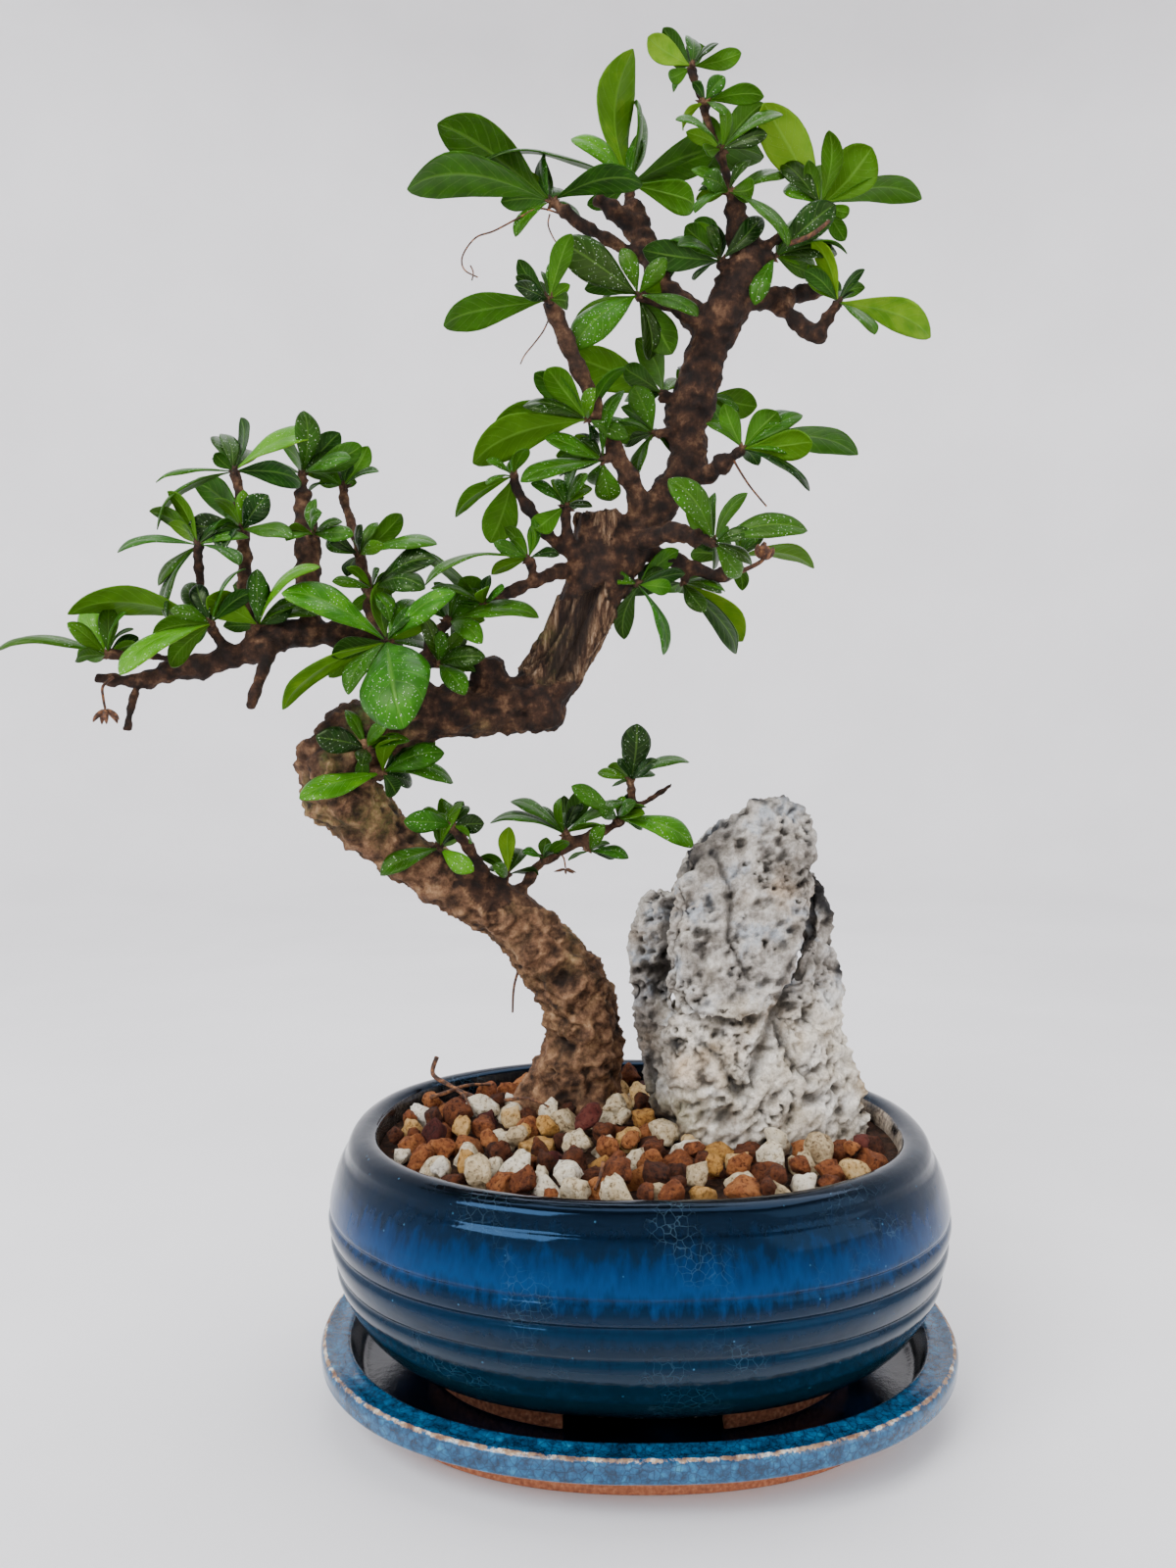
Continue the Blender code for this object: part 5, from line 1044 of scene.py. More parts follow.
def make_rock():
    masses = joined("rock masses", [hull("mass", corners) for corners in ROCK_MASSES])
    mesh = modified(masses, ("REMESH", {"mode": "VOXEL", "voxel_size": 0.85 * MM}),
                    ("SMOOTH", {"factor": 0.5, "iterations": 4}))
    points, out = points_of(mesh), normals_of(mesh)
    height = points[:, 2] - GRIT_Z
    beds = points + np.outer(points @ np.array((-0.6, 0.1, 0.8)), (-0.6, 0.1, 0.8)) * 0.6
    swells = unevenness(points, 21, 3, 11)
    valleys = 0.45 - np.abs(unevenness(beds, 13, 3, 12))
    chips = np.abs(unevenness(beds, 7.5, 3, 13))
    rough = unevenness(points, 2.6, 3, 14)
    patches = np.clip(unevenness(points, 13, 2, 15) * 4 - 0.1, 0, 1)
    pits = np.clip(unevenness(points, 1.9, 2, 16) * 2.4 - 0.35, 0, 1) * patches
    raised = 1.8 * swells + 3.4 * valleys - 2.6 * chips + 0.35 * rough - 2.6 * pits - 0.5
    holes = np.zeros(len(points))
    for x, y, z, radius, depth in ROCK_HOLES:
        ragged = 1 + 0.5 * rough
        d = np.linalg.norm(points - on_tree(x, y, z), axis=1) / radius * ragged
        fall = np.exp(-d ** 4)
        raised -= depth * fall
        holes = np.maximum(holes, fall)
    facing = np.clip(-out[:, 1] * 2, 0, 1)
    for width, depth, line in ROCK_CRACKS:
        ragged = 1 + 0.6 * rough + 0.5 * chips
        fall = np.exp(-(from_line(points[:, 0], height, line) / width * ragged) ** 2) * facing
        raised -= depth * fall
        holes = np.maximum(holes, fall * 0.9)
    points = points + out * raised[:, None]
    move_points(mesh, points)

    # Five numbers for the material: crust with painted shade, painted shade in the hollows, chalk,
    # darkening towards the bottom with painted shade on the low left, and algae
    blotches = unevenness(points, 9, 4, 17)
    # Near black: the black crust, and painted shade on the ridge behind the slab
    dark = np.zeros(len(points))
    for x, y, z, radius in ROCK_CRUST_AND_SHADE:
        d = np.linalg.norm(points - on_tree(x, y, z), axis=1) / radius
        dark = np.maximum(dark, np.clip(1.5 - d + blotches * 0.9, 0, 1))
    mark(mesh, "black", dark)
    # Painted shade: pits, holes, cracks and valleys, and the low left in shade, are darkened
    cavity = np.clip(np.maximum.reduce([holes, pits * 1.2, (chips - 0.27) * 2.4,
                                        -valleys * 2.2]), 0, 1)
    shade = np.clip((14 - points[:, 0]) / 10, 0, 1) * np.clip((60 - height) / 24, 0, 1)
    mark(mesh, "cavity", np.clip(cavity + shade * 0.55, 0, 1))
    white = np.clip((54 - height) / 16, 0, 1) * np.clip((points[:, 0] - 5) / 10, 0, 1)
    mark(mesh, "white", np.clip(white * 1.3 + blotches * 0.4, 0, 1))
    # Darker towards the bottom, with painted shade on the low left added
    stain = np.clip((11 - height + blotches * 9) / 10, 0, 1)
    stain *= np.clip((56 - points[:, 0]) / 22, 0.15, 1)
    mark(mesh, "stain", np.clip(stain + shade * 0.4, 0, 1))
    mark(mesh, "green", np.clip((24 - height) / 14, 0, 1) * np.clip((32 - points[:, 0]) / 16, 0, 1)
         * np.clip(blotches + 0.6, 0, 1))
    print(f"rock relief {raised.min():.1f} to {raised.max():.1f} mm")
    return mesh


# %% [markdown]
# The stone is pale grey with chalky white on its lower, fresher face, warm cream where iron has
# crept in, and nearly black where the crust still holds and on the ridge behind the slab, where
# that black is painted shade. Its pits, holes and cracks are darkened as painted shade, and it is
# darker towards the bottom. It is dry, so light falls on it softly: rough, with hardly any sheen.

# %% Pitted stone
def make_stone():
    finish, tree, shader = new_finish("pitted limestone", Roughness=0.9)
    shader.inputs["Specular IOR Level"].default_value = 0.25
    place = millimetres(tree)
    marks = {name: add(tree, "Attribute", {"attribute_name": name}).outputs["Fac"]
             for name in ("black", "cavity", "white", "stain", "green")}
    clouds = add(tree, "TexNoise", {"Vector": place, "Scale": 1 / 11, "Detail": 6,
                                    "Roughness": 0.6})
    grain = add(tree, "TexNoise", {"Vector": place, "Scale": 1 / 1.5, "Detail": 8,
                                   "Roughness": 0.72})
    grey = add(tree, "ValToRGB", {"Fac": clouds, "stops": [
        (0.32, "#605a53"), (0.43, "#968f86"), (0.54, "#c4beb6"), (0.64, "#a9afb6"),
        (0.76, "#e6e2db")]})
    chalk = add(tree, "ValToRGB", {"Fac": clouds, "stops": [
        (0.32, "#b3a690"), (0.44, "#e0d6c4"), (0.56, "#f6efe2"), (0.76, "#fffdf8")]})
    colour = add(tree, "MixRGB", {"Fac": marks["white"], "Color1": grey, "Color2": chalk})
    fine = add(tree, "ValToRGB", {"Fac": grain, "stops": [
        (0.28, "#5e5a55"), (0.42, "#b4b0aa"), (0.56, "#ffffff"), (0.80, "#ffffff")]})
    colour = add(tree, "MixRGB", {"blend_type": "MULTIPLY", "Fac": 0.6, "Color1": colour,
                                  "Color2": fine})
    cream = add(tree, "TexNoise", {"Vector": place, "Scale": 1 / 19, "Detail": 5})
    warm = add(tree, "MapRange", {"Value": cream, "From Min": 0.55, "From Max": 0.72,
                                  "To Max": 0.6})
    colour = add(tree, "MixRGB", {"blend_type": "MULTIPLY", "Fac": warm, "Color1": colour,
                                  "Color2": "#e3c39a"})
    # Painted shade: the hollows and the low left are darkened here, and the black includes painted
    # shade
    for name, tint, strength in (("green", "#6d6f38", 0.55), ("stain", "#4b3223", 0.85),
                                 ("cavity", "#1d1916", 0.86), ("black", "#19191c", 0.95)):
        most = add(tree, "MapRange", {"Value": marks[name], "To Max": strength})
        colour = add(tree, "MixRGB", {"Fac": most, "Color1": colour, "Color2": tint})
    tree.links.new(colour.outputs[0], shader.inputs["Base Color"])
    coarse = add(tree, "Bump", {"Height": clouds, "Distance": 0.002, "Strength": 0.6})
    skin = add(tree, "Bump", {"Height": grain, "Distance": 0.0008, "Strength": 0.9,
                              "Normal": coarse})
    tree.links.new(skin.outputs[0], shader.inputs["Normal"])
    return finish


piece("pitted_rock", make_rock(), [make_stone()], ["rock"])

# %% [markdown]
# ## The grit
#
# Bonsai grit is sieved, here to between 5 and 13 mm, and mixed of white pumice, fired brown clay,
# yellow gravel and a little dark red lava. A stone is a ball of 162 points, cut by random planes
# as a crusher breaks it, and pitted. The largest are laid first. Each stone is tried at several
# random places, rests on those already there, as far as their round shapes tell, and stays where
# it lies lowest.

# %% Drop the stones
TRUNK_FOOT = (-25, 36, 17.5)  # x, y and radius where the trunk stands
FRONT_ROOT = (-14, 22, 7)  # the same where a root dives into the grit
ROCK_FOOT = (46, 14, 34, 24)  # x, y and half the length and width where the rock stands
GRIT_EDGE = (POT_HALF[0] - 17.2, POT_HALF[1] - 17.2)
STONE_COUNT = 640
STONE_RADII = (2.6, 6.4, 4.9)  # least, most and commonest
PLACES_TRIED = 14
NEARNESS = 0.86  # broken stones lie closer together than balls of their size
HEAP_TOP = GRIT_Z + 5.6  # no stone's middle lies higher


def free_of_wood_and_rock(x, y, radius):
    trunk_x, trunk_y, trunk_radius = TRUNK_FOOT
    root_x, root_y, root_radius = FRONT_ROOT
    rock_x, rock_y, length, width = ROCK_FOOT
    if math.hypot(x - trunk_x, y - trunk_y) < trunk_radius + radius * 0.4:
        return False
    if math.hypot(x - root_x, y - root_y) < root_radius:
        return False
    return (abs((x - rock_x) / (length + radius)) ** 3
            + abs((y - rock_y) / (width + radius * 0.7)) ** 3 > 1)


def drop_stones():
    """Stones as x, y, height of the middle and radius."""
    laid = []
    sizes = sorted((CHANCE.triangular(*STONE_RADII) for _ in range(STONE_COUNT)), reverse=True)
    for radius in sizes:
        best = None
        for _ in range(PLACES_TRIED):
            angle, share = CHANCE.uniform(0, 2 * math.pi), math.sqrt(CHANCE.random())
            x = math.cos(angle) * share * (GRIT_EDGE[0] - radius)
            y = math.sin(angle) * share * (GRIT_EDGE[1] - radius)
            if not free_of_wood_and_rock(x, y, radius):
                continue
            z = GRIT_Z + 0.15 * radius
            for a, b, c, other in laid:
                flat = math.hypot(x - a, y - b)
                touch = (radius + other) * NEARNESS
                if flat < touch:
                    z = max(z, c + math.sqrt(touch * touch - flat * flat) * 0.85)
            if best is None or z + radius < best[2] + radius:
                best = (x, y, z, radius)
        if best and best[2] < HEAP_TOP:
            laid.append(best)
    return laid


def make_stone_mesh(place, radius):
    """Points and faces of one broken stone."""
    bm = bmesh.new()
    bmesh.ops.create_icosphere(bm, subdivisions=3, radius=1)
    points = np.array([vert.co for vert in bm.verts])
    faces = [[vert.index for vert in face.verts] for face in bm.faces]
    bm.free()
    # Each plane presses what lies past it almost flat
    for _ in range(CHANCE.randint(9, 14)):
        way = np.array([CHANCE.gauss(0, 1) for _ in range(3)])
        way /= np.linalg.norm(way)
        reach = CHANCE.uniform(0.50, 0.86)
        past = np.clip(points @ way - reach, 0, None)
        points -= np.outer(past * 0.9, way)
    seed = CHANCE.uniform(0, 50)
    bumps = unevenness(points, 0.6, 4, seed) * 0.2 - np.clip(
        unevenness(points, 0.22, 2, seed + 3) - 0.15, 0, 1) * 0.22
    points *= (1 + bumps)[:, None]
    points *= [CHANCE.uniform(0.95, 1.25), CHANCE.uniform(0.85, 1.05), CHANCE.uniform(0.75, 0.95)]
    turn = Quaternion([CHANCE.gauss(0, 1) for _ in range(4)]).normalized().to_matrix()
    return points @ np.array(turn).T * radius + place, faces


def gather(name, parts, tones):
    """One mesh of many small ones, each with its own tone."""
    points, faces, values, start = [], [], [], 0
    for (some, ends), tone in zip(parts, tones):
        points.append(some)
        faces += [[start + i for i in face] for face in ends]
        values += [tone] * len(some)
        start += len(some)
    mesh = mesh_from(name, np.concatenate(points), faces)
    mark(mesh, "tone", values)
    return mesh


STONES = drop_stones()
print(len(STONES), "stones laid")

# %% [markdown]
# Each kind of stone has its own material, and each stone its own tone along the kind's colours.
# Pumice is frothy and pale, fired clay is porous and earthy, gravel is smoother with a hint of
# quartz, and lava is dark.

# %% Materials of the grit
GRIT_KINDS = {  # share of the stones, roughness, colours
    "fired_clay": (0.50, 0.95, ("#2e160c", "#582e18", "#824826", "#aa6c3c")),
    "pumice": (0.31, 0.9, ("#8d7250", "#d4bd94", "#eddfc2", "#faf2e2")),
    "gravel": (0.13, 0.75, ("#94602a", "#bd8a42", "#d3a868", "#e2c491")),
    "lava": (0.06, 0.95, ("#2a1512", "#451c17", "#5a2620", "#6f3a30")),
}


def make_grit_finish(name, roughness, colours):
    finish, tree, shader = new_finish("broken " + name.replace("_", " "), Roughness=roughness)
    shader.inputs["Specular IOR Level"].default_value = 0.3
    place = millimetres(tree)
    tone = add(tree, "Attribute", {"attribute_name": "tone"}).outputs["Fac"]
    blotches = add(tree, "TexNoise", {"Vector": place, "Scale": 1 / 2.6, "Detail": 6,
                                      "Roughness": 0.7})
    spread = add(tree, "MapRange", {"Value": blotches, "From Min": 0.25, "From Max": 0.75,
                                    "To Min": -0.3, "To Max": 0.3})
    level = add(tree, "Math", {"operation": "ADD", 0: tone, 1: spread})
    colour = add(tree, "ValToRGB", {"Fac": level, "stops": list(
        zip((0.05, 0.35, 0.62, 0.9), colours))})
    pores = add(tree, "TexNoise", {"Vector": place, "Scale": 1 / 1.3, "Detail": 6,
                                   "Roughness": 0.7})
    # Painted shade: the pores, where the bump lies low, are darkened
    pits = add(tree, "MapRange", {"Value": pores, "From Min": 0.48, "From Max": 0.34,
                                  "To Max": 0.8})
    colour = add(tree, "MixRGB", {"blend_type": "MULTIPLY", "Fac": pits, "Color1": colour,
                                  "Color2": "#5b4535"})
    tree.links.new(colour.outputs[0], shader.inputs["Base Color"])
    bump = add(tree, "Bump", {"Height": pores, "Distance": 0.0018, "Strength": 1.0})
    tree.links.new(bump.outputs[0], shader.inputs["Normal"])
    return finish


def choose_kind():
    pick = CHANCE.random()
    for name, (share, _, _) in GRIT_KINDS.items():
        pick -= share
        if pick < 0:
            return name
    return "fired_clay"


def lay_grit():
    heaps = {name: [] for name in GRIT_KINDS}
    for x, y, z, radius in STONES:
        heaps[choose_kind()].append(make_stone_mesh(np.array((x, y, z)), radius))
    for name, (_, roughness, colours) in GRIT_KINDS.items():
        tones = [CHANCE.uniform(0.15, 0.85) for _ in heaps[name]]
        piece("grit_" + name, gather(name, heaps[name], tones),
              [make_grit_finish(name, roughness, colours)])


lay_grit()

# %% [markdown]
# Under and between the stones lies fine, damp earth. The layer and the soil keep their solids
# from the frame and only get a new surface.

# %% Damp earth
def make_earth():
    finish, tree, shader = new_finish("damp earth", Roughness=0.95)
    shader.inputs["Specular IOR Level"].default_value = 0.25
    place = millimetres(tree)
    crumbs = add(tree, "TexNoise", {"Vector": place, "Scale": 1 / 2.4, "Detail": 9,
                                    "Roughness": 0.75})
    colour = add(tree, "ValToRGB", {"Fac": crumbs, "stops": [
        (0.30, "#140c08"), (0.46, "#2c1b12"), (0.58, "#4a2e1d"), (0.74, "#6e4a31")]})
    tree.links.new(colour.outputs[0], shader.inputs["Base Color"])
    bump = add(tree, "Bump", {"Height": crumbs, "Distance": 0.002, "Strength": 1.0})
    tree.links.new(bump.outputs[0], shader.inputs["Normal"])
    return finish


def make_mesh_plastic():
    finish, tree, shader = new_finish("moulded black plastic", Roughness=0.5)
    place = millimetres(tree)
    weave = add(tree, "TexVoronoi", {"Vector": place, "Scale": 1 / 2.0, "Randomness": 0.0})
    colour = add(tree, "ValToRGB", {"Fac": weave, "stops": [(0.3, "#060606"), (0.6, "#1c1c1d")]})
    tree.links.new(colour.outputs[0], shader.inputs["Base Color"])
    return finish


def refinish(name, material):
    solid = bpy.data.objects[name]
    for slot in solid.material_slots:
        slot.material = material


EARTH = make_earth()
PLASTIC = make_mesh_plastic()
for name in ("soil", "top_dressing"):
    refinish(name, EARTH)
for name in ("drain_screen_left", "drain_screen_right"):
    refinish(name, PLASTIC)

# %% [markdown]
# ## The leaves
#
# The leaves are spoon-shaped: a narrow wedge at the stalk, widest near the end, with a round or
# faintly toothed tip. The outline is typed as shares of length and width. Each leaf is a grid
# that follows it, arched along its length, folded a little along the midrib and rolled down at
# the edges. Its seen width and its real one differ, so each leaf is rolled about its own length
# until the view from the front is the measured one; the rest of it leans away.

# %% The shape of one leaf
OUTLINE = ((0, 0.05), (0.06, 0.07), (0.14, 0.20), (0.24, 0.41), (0.35, 0.63), (0.47, 0.83),
           (0.58, 0.96), (0.67, 1.0), (0.76, 0.95), (0.85, 0.80), (0.92, 0.58), (0.97, 0.32),
           (1.0, 0.04))
ALONG = np.concatenate([np.linspace(0, 0.82, 15), (0.86, 0.90, 0.935, 0.965, 0.985, 1.0)])
ACROSS = np.linspace(-1, 1, 11)
LEAF_RATIO, SHORT_RATIO = 0.40, 0.5  # real width to length, and that of the shortest leaves
SHORT_LEAF, NARROWEST_LEAF = 12, 3.0  # a length and a width
FRONT = np.array((0, -1.0, 0))


def unit(vector):
    return vector / max(np.linalg.norm(vector), 1e-9)


def leaf_frame(way, seen_width, upper_seen):
    """The leaf's sideways and upward directions, and its real width."""
    length = np.linalg.norm(way)
    along = way / length
    facing = FRONT - along * (FRONT @ along)
    if np.linalg.norm(facing) < 0.15:
        facing = np.array((0, 0, 1.0)) - along * along[2]
    facing = unit(facing)
    beside = np.cross(facing, along)
    ratio = (LEAF_RATIO if length > SHORT_LEAF else SHORT_RATIO) * CHANCE.uniform(0.9, 1.1)
    width = max(seen_width, length * ratio, NARROWEST_LEAF)
    shown = min(1.0, seen_width / width)
    hidden = math.sqrt(1 - shown * shown)
    lift = math.copysign(hidden, beside[2] + 0.2 * beside[0] * np.sign(way[0]) + 1e-6)
    upward = unit(facing * (shown if upper_seen else -shown) + beside * lift)
    return np.cross(along, upward), upward, width


def leaf_grid(root, way, seen_width, upper_seen):
    side, upward, width = leaf_frame(way, seen_width, upper_seen)
    length = np.linalg.norm(way)
    spread = np.interp(ALONG, *zip(*OUTLINE)) * width / 2
    arch = CHANCE.uniform(0.07, 0.15) * length
    fold = CHANCE.uniform(0.10, 0.32)
    roll = CHANCE.uniform(0.15, 0.40)
    twist = CHANCE.uniform(-0.25, 0.25)
    sway = CHANCE.uniform(-0.05, 0.05) * length
    phase = CHANCE.uniform(0, 6)
    toothed = CHANCE.random() < 0.35
    rows = []
    for share, half in zip(ALONG, spread):
        spine = (way * share + upward * arch * 4 * share * (1 - share) * (0.7 + 0.6 * share)
                 + side * sway * math.sin(math.pi * share))
        angle = twist * share
        across = side * math.cos(angle) + upward * math.sin(angle)
        above = upward * math.cos(angle) - side * math.sin(angle)
        tip = max(0, share - 0.8) / 0.2
        for t in ACROSS:
            bulge = half * (fold * abs(t) - roll * abs(t) ** 3)
            wave = 0.05 * half * math.sin(share * 11 + phase + (2 if t > 0 else 0)) * abs(t) ** 2
            notch = 1 - (0.07 * abs(math.sin(share * 38)) * tip * abs(t) if toothed else 0)
            rows.append(spine + across * half * t * notch + above * (bulge + wave)
                        - upward * tip ** 2 * length * 0.035)
    return root + np.array(rows)


GRID = [(i * len(ACROSS) + j, i * len(ACROSS) + j + 1, (i + 1) * len(ACROSS) + j + 1,
         (i + 1) * len(ACROSS) + j) for i in range(len(ALONG) - 1) for j in range(len(ACROSS) - 1)]

# %% [markdown]
# The upper side is a deep, glossy green, paler along the midrib and the side veins, and dotted
# with tiny white points, as this plant's leaves are. The underside is duller and yellower, with
# raised veins. Light comes through young leaves, so both get a little subsurface scattering,
# which is light that enters the leaf and leaves it nearby. The veins are drawn from two numbers
# on each point: how far along the leaf it lies, and how far across.

# %% Leaf green
TONES = {  # letter: (brightness, yellowness, gloss), each from 0 to 1
    "m": (0.42, 0.22, 0.5), "b": (0.85, 0.40, 0.5), "d": (0.12, 0.05, 1.0),
    "o": (0.50, 0.50, 0.2), "y": (0.95, 0.85, 0.3), "h": (0.66, 0.05, 0.7),
}


def make_leaf_finish(name, stops, yellow_tint, roughness, vein_lift, speckles):
    finish, tree, shader = new_finish(name, IOR=1.45)
    shader.inputs["Specular IOR Level"].default_value = 0.35
    shader.inputs["Specular Tint"].default_value = linear("#c4dfa0")
    shader.inputs["Subsurface Weight"].default_value = 0.08
    shader.inputs["Subsurface Radius"].default_value = (0.6, 1.0, 0.2)
    shader.inputs["Subsurface Scale"].default_value = 0.0006
    marks = {name: add(tree, "Attribute", {"attribute_name": name}).outputs["Fac"]
             for name in ("tone", "yellow", "gloss", "along", "across")}
    place = millimetres(tree)
    clouds = add(tree, "TexNoise", {"Vector": place, "Scale": 1 / 6, "Detail": 4})
    drift = add(tree, "MapRange", {"Value": clouds, "From Min": 0.3, "From Max": 0.7,
                                   "To Min": -0.16, "To Max": 0.16})
    level = add(tree, "Math", {"operation": "ADD", 0: marks["tone"], 1: drift})
    colour = add(tree, "ValToRGB", {"Fac": level, "stops": stops})
    most = add(tree, "Math", {"operation": "MULTIPLY", 0: marks["yellow"], 1: 0.75})
    colour = add(tree, "MixRGB", {"Fac": most, "Color1": colour, "Color2": yellow_tint})
    # The midrib is 4 % of the width each side; side veins leave it forwards, nine to a side
    away = add(tree, "Math", {"operation": "ABSOLUTE", 0: marks["across"]})
    midrib = add(tree, "MapRange", {"Value": away, "From Min": 0.09, "From Max": 0.03})
    slant = add(tree, "Math", {"operation": "MULTIPLY_ADD", 0: away, 1: -0.22,
                               2: marks["along"]})
    wave = add(tree, "Math", {"operation": "MULTIPLY", 0: slant, 1: 58})
    ripple = add(tree, "Math", {"operation": "SINE", 0: wave})
    veins = add(tree, "MapRange", {"Value": ripple, "From Min": 0.86, "From Max": 0.99,
                                   "To Max": 0.45})
    lines = add(tree, "Math", {"operation": "MAXIMUM", 0: midrib, 1: veins})
    shown = add(tree, "Math", {"operation": "MULTIPLY", 0: lines, 1: vein_lift})
    colour = add(tree, "MixRGB", {"Fac": shown, "Color1": colour, "Color2": "#6f9c3a"})
    dots = add(tree, "TexVoronoi", {"Vector": place, "Scale": 1 / 0.95, "Randomness": 1.0})
    points = add(tree, "MapRange", {"Value": dots, "From Min": 0.21, "From Max": 0.11,
                                    "To Max": speckles})
    patches = add(tree, "MapRange", {"Value": clouds, "From Min": 0.40, "From Max": 0.56})
    powder = add(tree, "Math", {"operation": "MULTIPLY", 0: points, 1: patches})
    colour = add(tree, "MixRGB", {"Fac": powder, "Color1": colour, "Color2": "#cfdcc6"})
    tree.links.new(colour.outputs[0], shader.inputs["Base Color"])
    shine = add(tree, "MapRange", {"Value": marks["gloss"], "To Min": roughness + 0.12,
                                   "To Max": roughness - 0.06})
    tree.links.new(shine.outputs[0], shader.inputs["Roughness"])
    bump = add(tree, "Bump", {"Height": lines, "Distance": 0.0003, "Strength": 0.6})
    bump.invert = speckles > 0.1
    tree.links.new(bump.outputs[0], shader.inputs["Normal"])
    return finish


LEAF_UPPER = make_leaf_finish("leaf, glossy upper side", [
    (0.00, "#021404"), (0.22, "#052904"), (0.45, "#0e4202"), (0.70, "#205f02"),
    (1.00, "#4a8a10")], "#4c7402", 0.36, 0.2, 0.8)
LEAF_UNDER = make_leaf_finish("leaf, matt underside", [
    (0.00, "#052205"), (0.30, "#103a04"), (0.55, "#235604"), (0.80, "#417208"),
    (1.00, "#6b9218")], "#527406", 0.52, 0.28, 0.05)

# %% [markdown]
# Every tuft becomes one piece: its leaves with both sides. The typed leaves are those seen from
# the front; a few more, drawn by chance, fill its back and its heart. Solidify gives the leaves
# their third of a millimetre. Where they leave the wood, a swollen knob bears the scaly stumps of
# older leaves.

# %% Tufts
def make_knob(bud, wood):
    """Points and faces of a bud with scales, as short cones round a ball."""
    outward = unit(bud - wood[:3])
    points, faces = [], []
    for _ in range(CHANCE.randint(7, 10)):
        way = unit(np.array([CHANCE.gauss(0, 1) for _ in range(3)]) + outward * 1.2)
        start = bud - outward * 1.0
        reach = CHANCE.uniform(2.0, 3.4)
        side = unit(np.cross(way, (0.3, 0.5, 0.8)))
        other = np.cross(way, side)
        first = len(points)
        for share, size in ((0, 0.9), (0.5, 0.75), (1.0, 0.12)):
            for step in range(6):
                turn = step * math.pi / 3
                points.append(start + way * reach * share
                              + (side * math.cos(turn) + other * math.sin(turn)) * size)
        for level in range(2):
            for step in range(6):
                a, b = first + level * 6 + step, first + level * 6 + (step + 1) % 6
                faces.append((a, b, b + 6, a + 6))
        faces.append(tuple(range(first + 5, first - 1, -1)))
        faces.append(tuple(range(first + 12, first + 18)))
    return np.array(points), faces


SHORT_LEAVES = 14  # a tuft whose typical leaf is shorter has fewer hidden ones
LONGEST_HIDDEN = 24


def hidden_leaves(name):
    """Leaves at the back and the heart of a tuft, which the typed ones cover from the front."""
    bud, wood = SEATS[name]
    ways = [way for way, *_ in read_leaves(TUFTS[name][1])]
    typical = np.median([np.linalg.norm(way) for way in ways])
    outward = unit(bud - wood[:3])
    hidden = []
    for _ in range(3 if typical < SHORT_LEAVES else 6):
        way = np.array([CHANCE.gauss(0, 1), CHANCE.gauss(0.7, 0.7), CHANCE.gauss(0.35, 0.6)])
        way = unit(unit(way) + outward * 0.6) * min(typical, LONGEST_HIDDEN)
        way = way * CHANCE.uniform(0.55, 0.95)
        upper = CHANCE.random() < 0.55
        width = np.linalg.norm(way) * CHANCE.uniform(0.24, 0.42)
        hidden.append((way, width, upper, CHANCE.choice("dmmdo")))
    return hidden


def make_tuft(name):
    bud, _ = SEATS[name]
    points, faces = [], []
    marks = {key: [] for key in ("tone", "yellow", "gloss", "along", "across")}
    for way, width, upper_seen, letter in read_leaves(TUFTS[name][1]) + hidden_leaves(name):
        grid = leaf_grid(bud, way, width, upper_seen)
        start = sum(len(some) for some in points)
        points.append(grid)
        faces += [tuple(start + i for i in face) for face in GRID]
        tone, yellow, gloss = TONES[letter]
        shift = CHANCE.uniform(-0.12, 0.12)
        marks["tone"] += [min(1, max(0, tone + shift))] * len(grid)
        marks["yellow"] += [max(0, yellow + CHANCE.uniform(-0.15, 0.15))] * len(grid)
        marks["gloss"] += [gloss] * len(grid)
        marks["along"] += list(np.repeat(ALONG, len(ACROSS)))
        marks["across"] += list(np.tile(ACROSS, len(ALONG)))
    mesh = mesh_from(name, np.concatenate(points), faces)
    for key, values in marks.items():
        mark(mesh, key, values)
    mesh.materials.append(LEAF_UPPER)
    mesh.materials.append(LEAF_UNDER)
    mesh = modified(mesh, ("SOLIDIFY", {"thickness": 0.35 * MM, "offset": -1,
                                        "material_offset": 1, "material_offset_rim": 1}))
    piece("tuft_" + name, mesh, [], ["leaves_" + name])


for name in TUFTS:
    make_tuft(name)

# %% Knobs at the heart of the tufts
def make_knobs():
    parts = [make_knob(*SEATS[name]) for name in TUFTS]
    mesh = gather("knobs", parts, [0.5] * len(parts))
    for name, value in (("dead", 0.0), ("hollow", 0.15), ("tan", 0.25), ("moss", 0.0)):
        mark(mesh, name, [value] * len(mesh.vertices))
    piece("bud_scales", mesh, [BARK])


make_knobs()

# %% [markdown]
# ## Small things
#
# What the tree has shed or dried stays on it: two withered flowers, a star-shaped calyx under
# the low sprig, hair-thin flower stalks, and twigs on the grit.

# %% Withered brown
def make_withered():
    finish, tree, shader = new_finish("withered flower and twig", Roughness=0.8)
    place = millimetres(tree)
    mottle = add(tree, "TexNoise", {"Vector": place, "Scale": 1 / 1.6, "Detail": 6})
    colour = add(tree, "ValToRGB", {"Fac": mottle, "stops": [
        (0.3, "#1d1109"), (0.5, "#4a2a17"), (0.68, "#8a5a33")]})
    tree.links.new(colour.outputs[0], shader.inputs["Base Color"])
    bump = add(tree, "Bump", {"Height": mottle, "Distance": 0.0005, "Strength": 0.7})
    tree.links.new(bump.outputs[0], shader.inputs["Normal"])
    return finish


def strand(points, thick, thin, steps=6):
    """Rows of a thread through points above the grit, from one radius to the other."""
    rows = smoothed([on_tree(*point) for point in points], steps)
    return np.column_stack([rows, np.linspace(thick, thin, len(rows))])


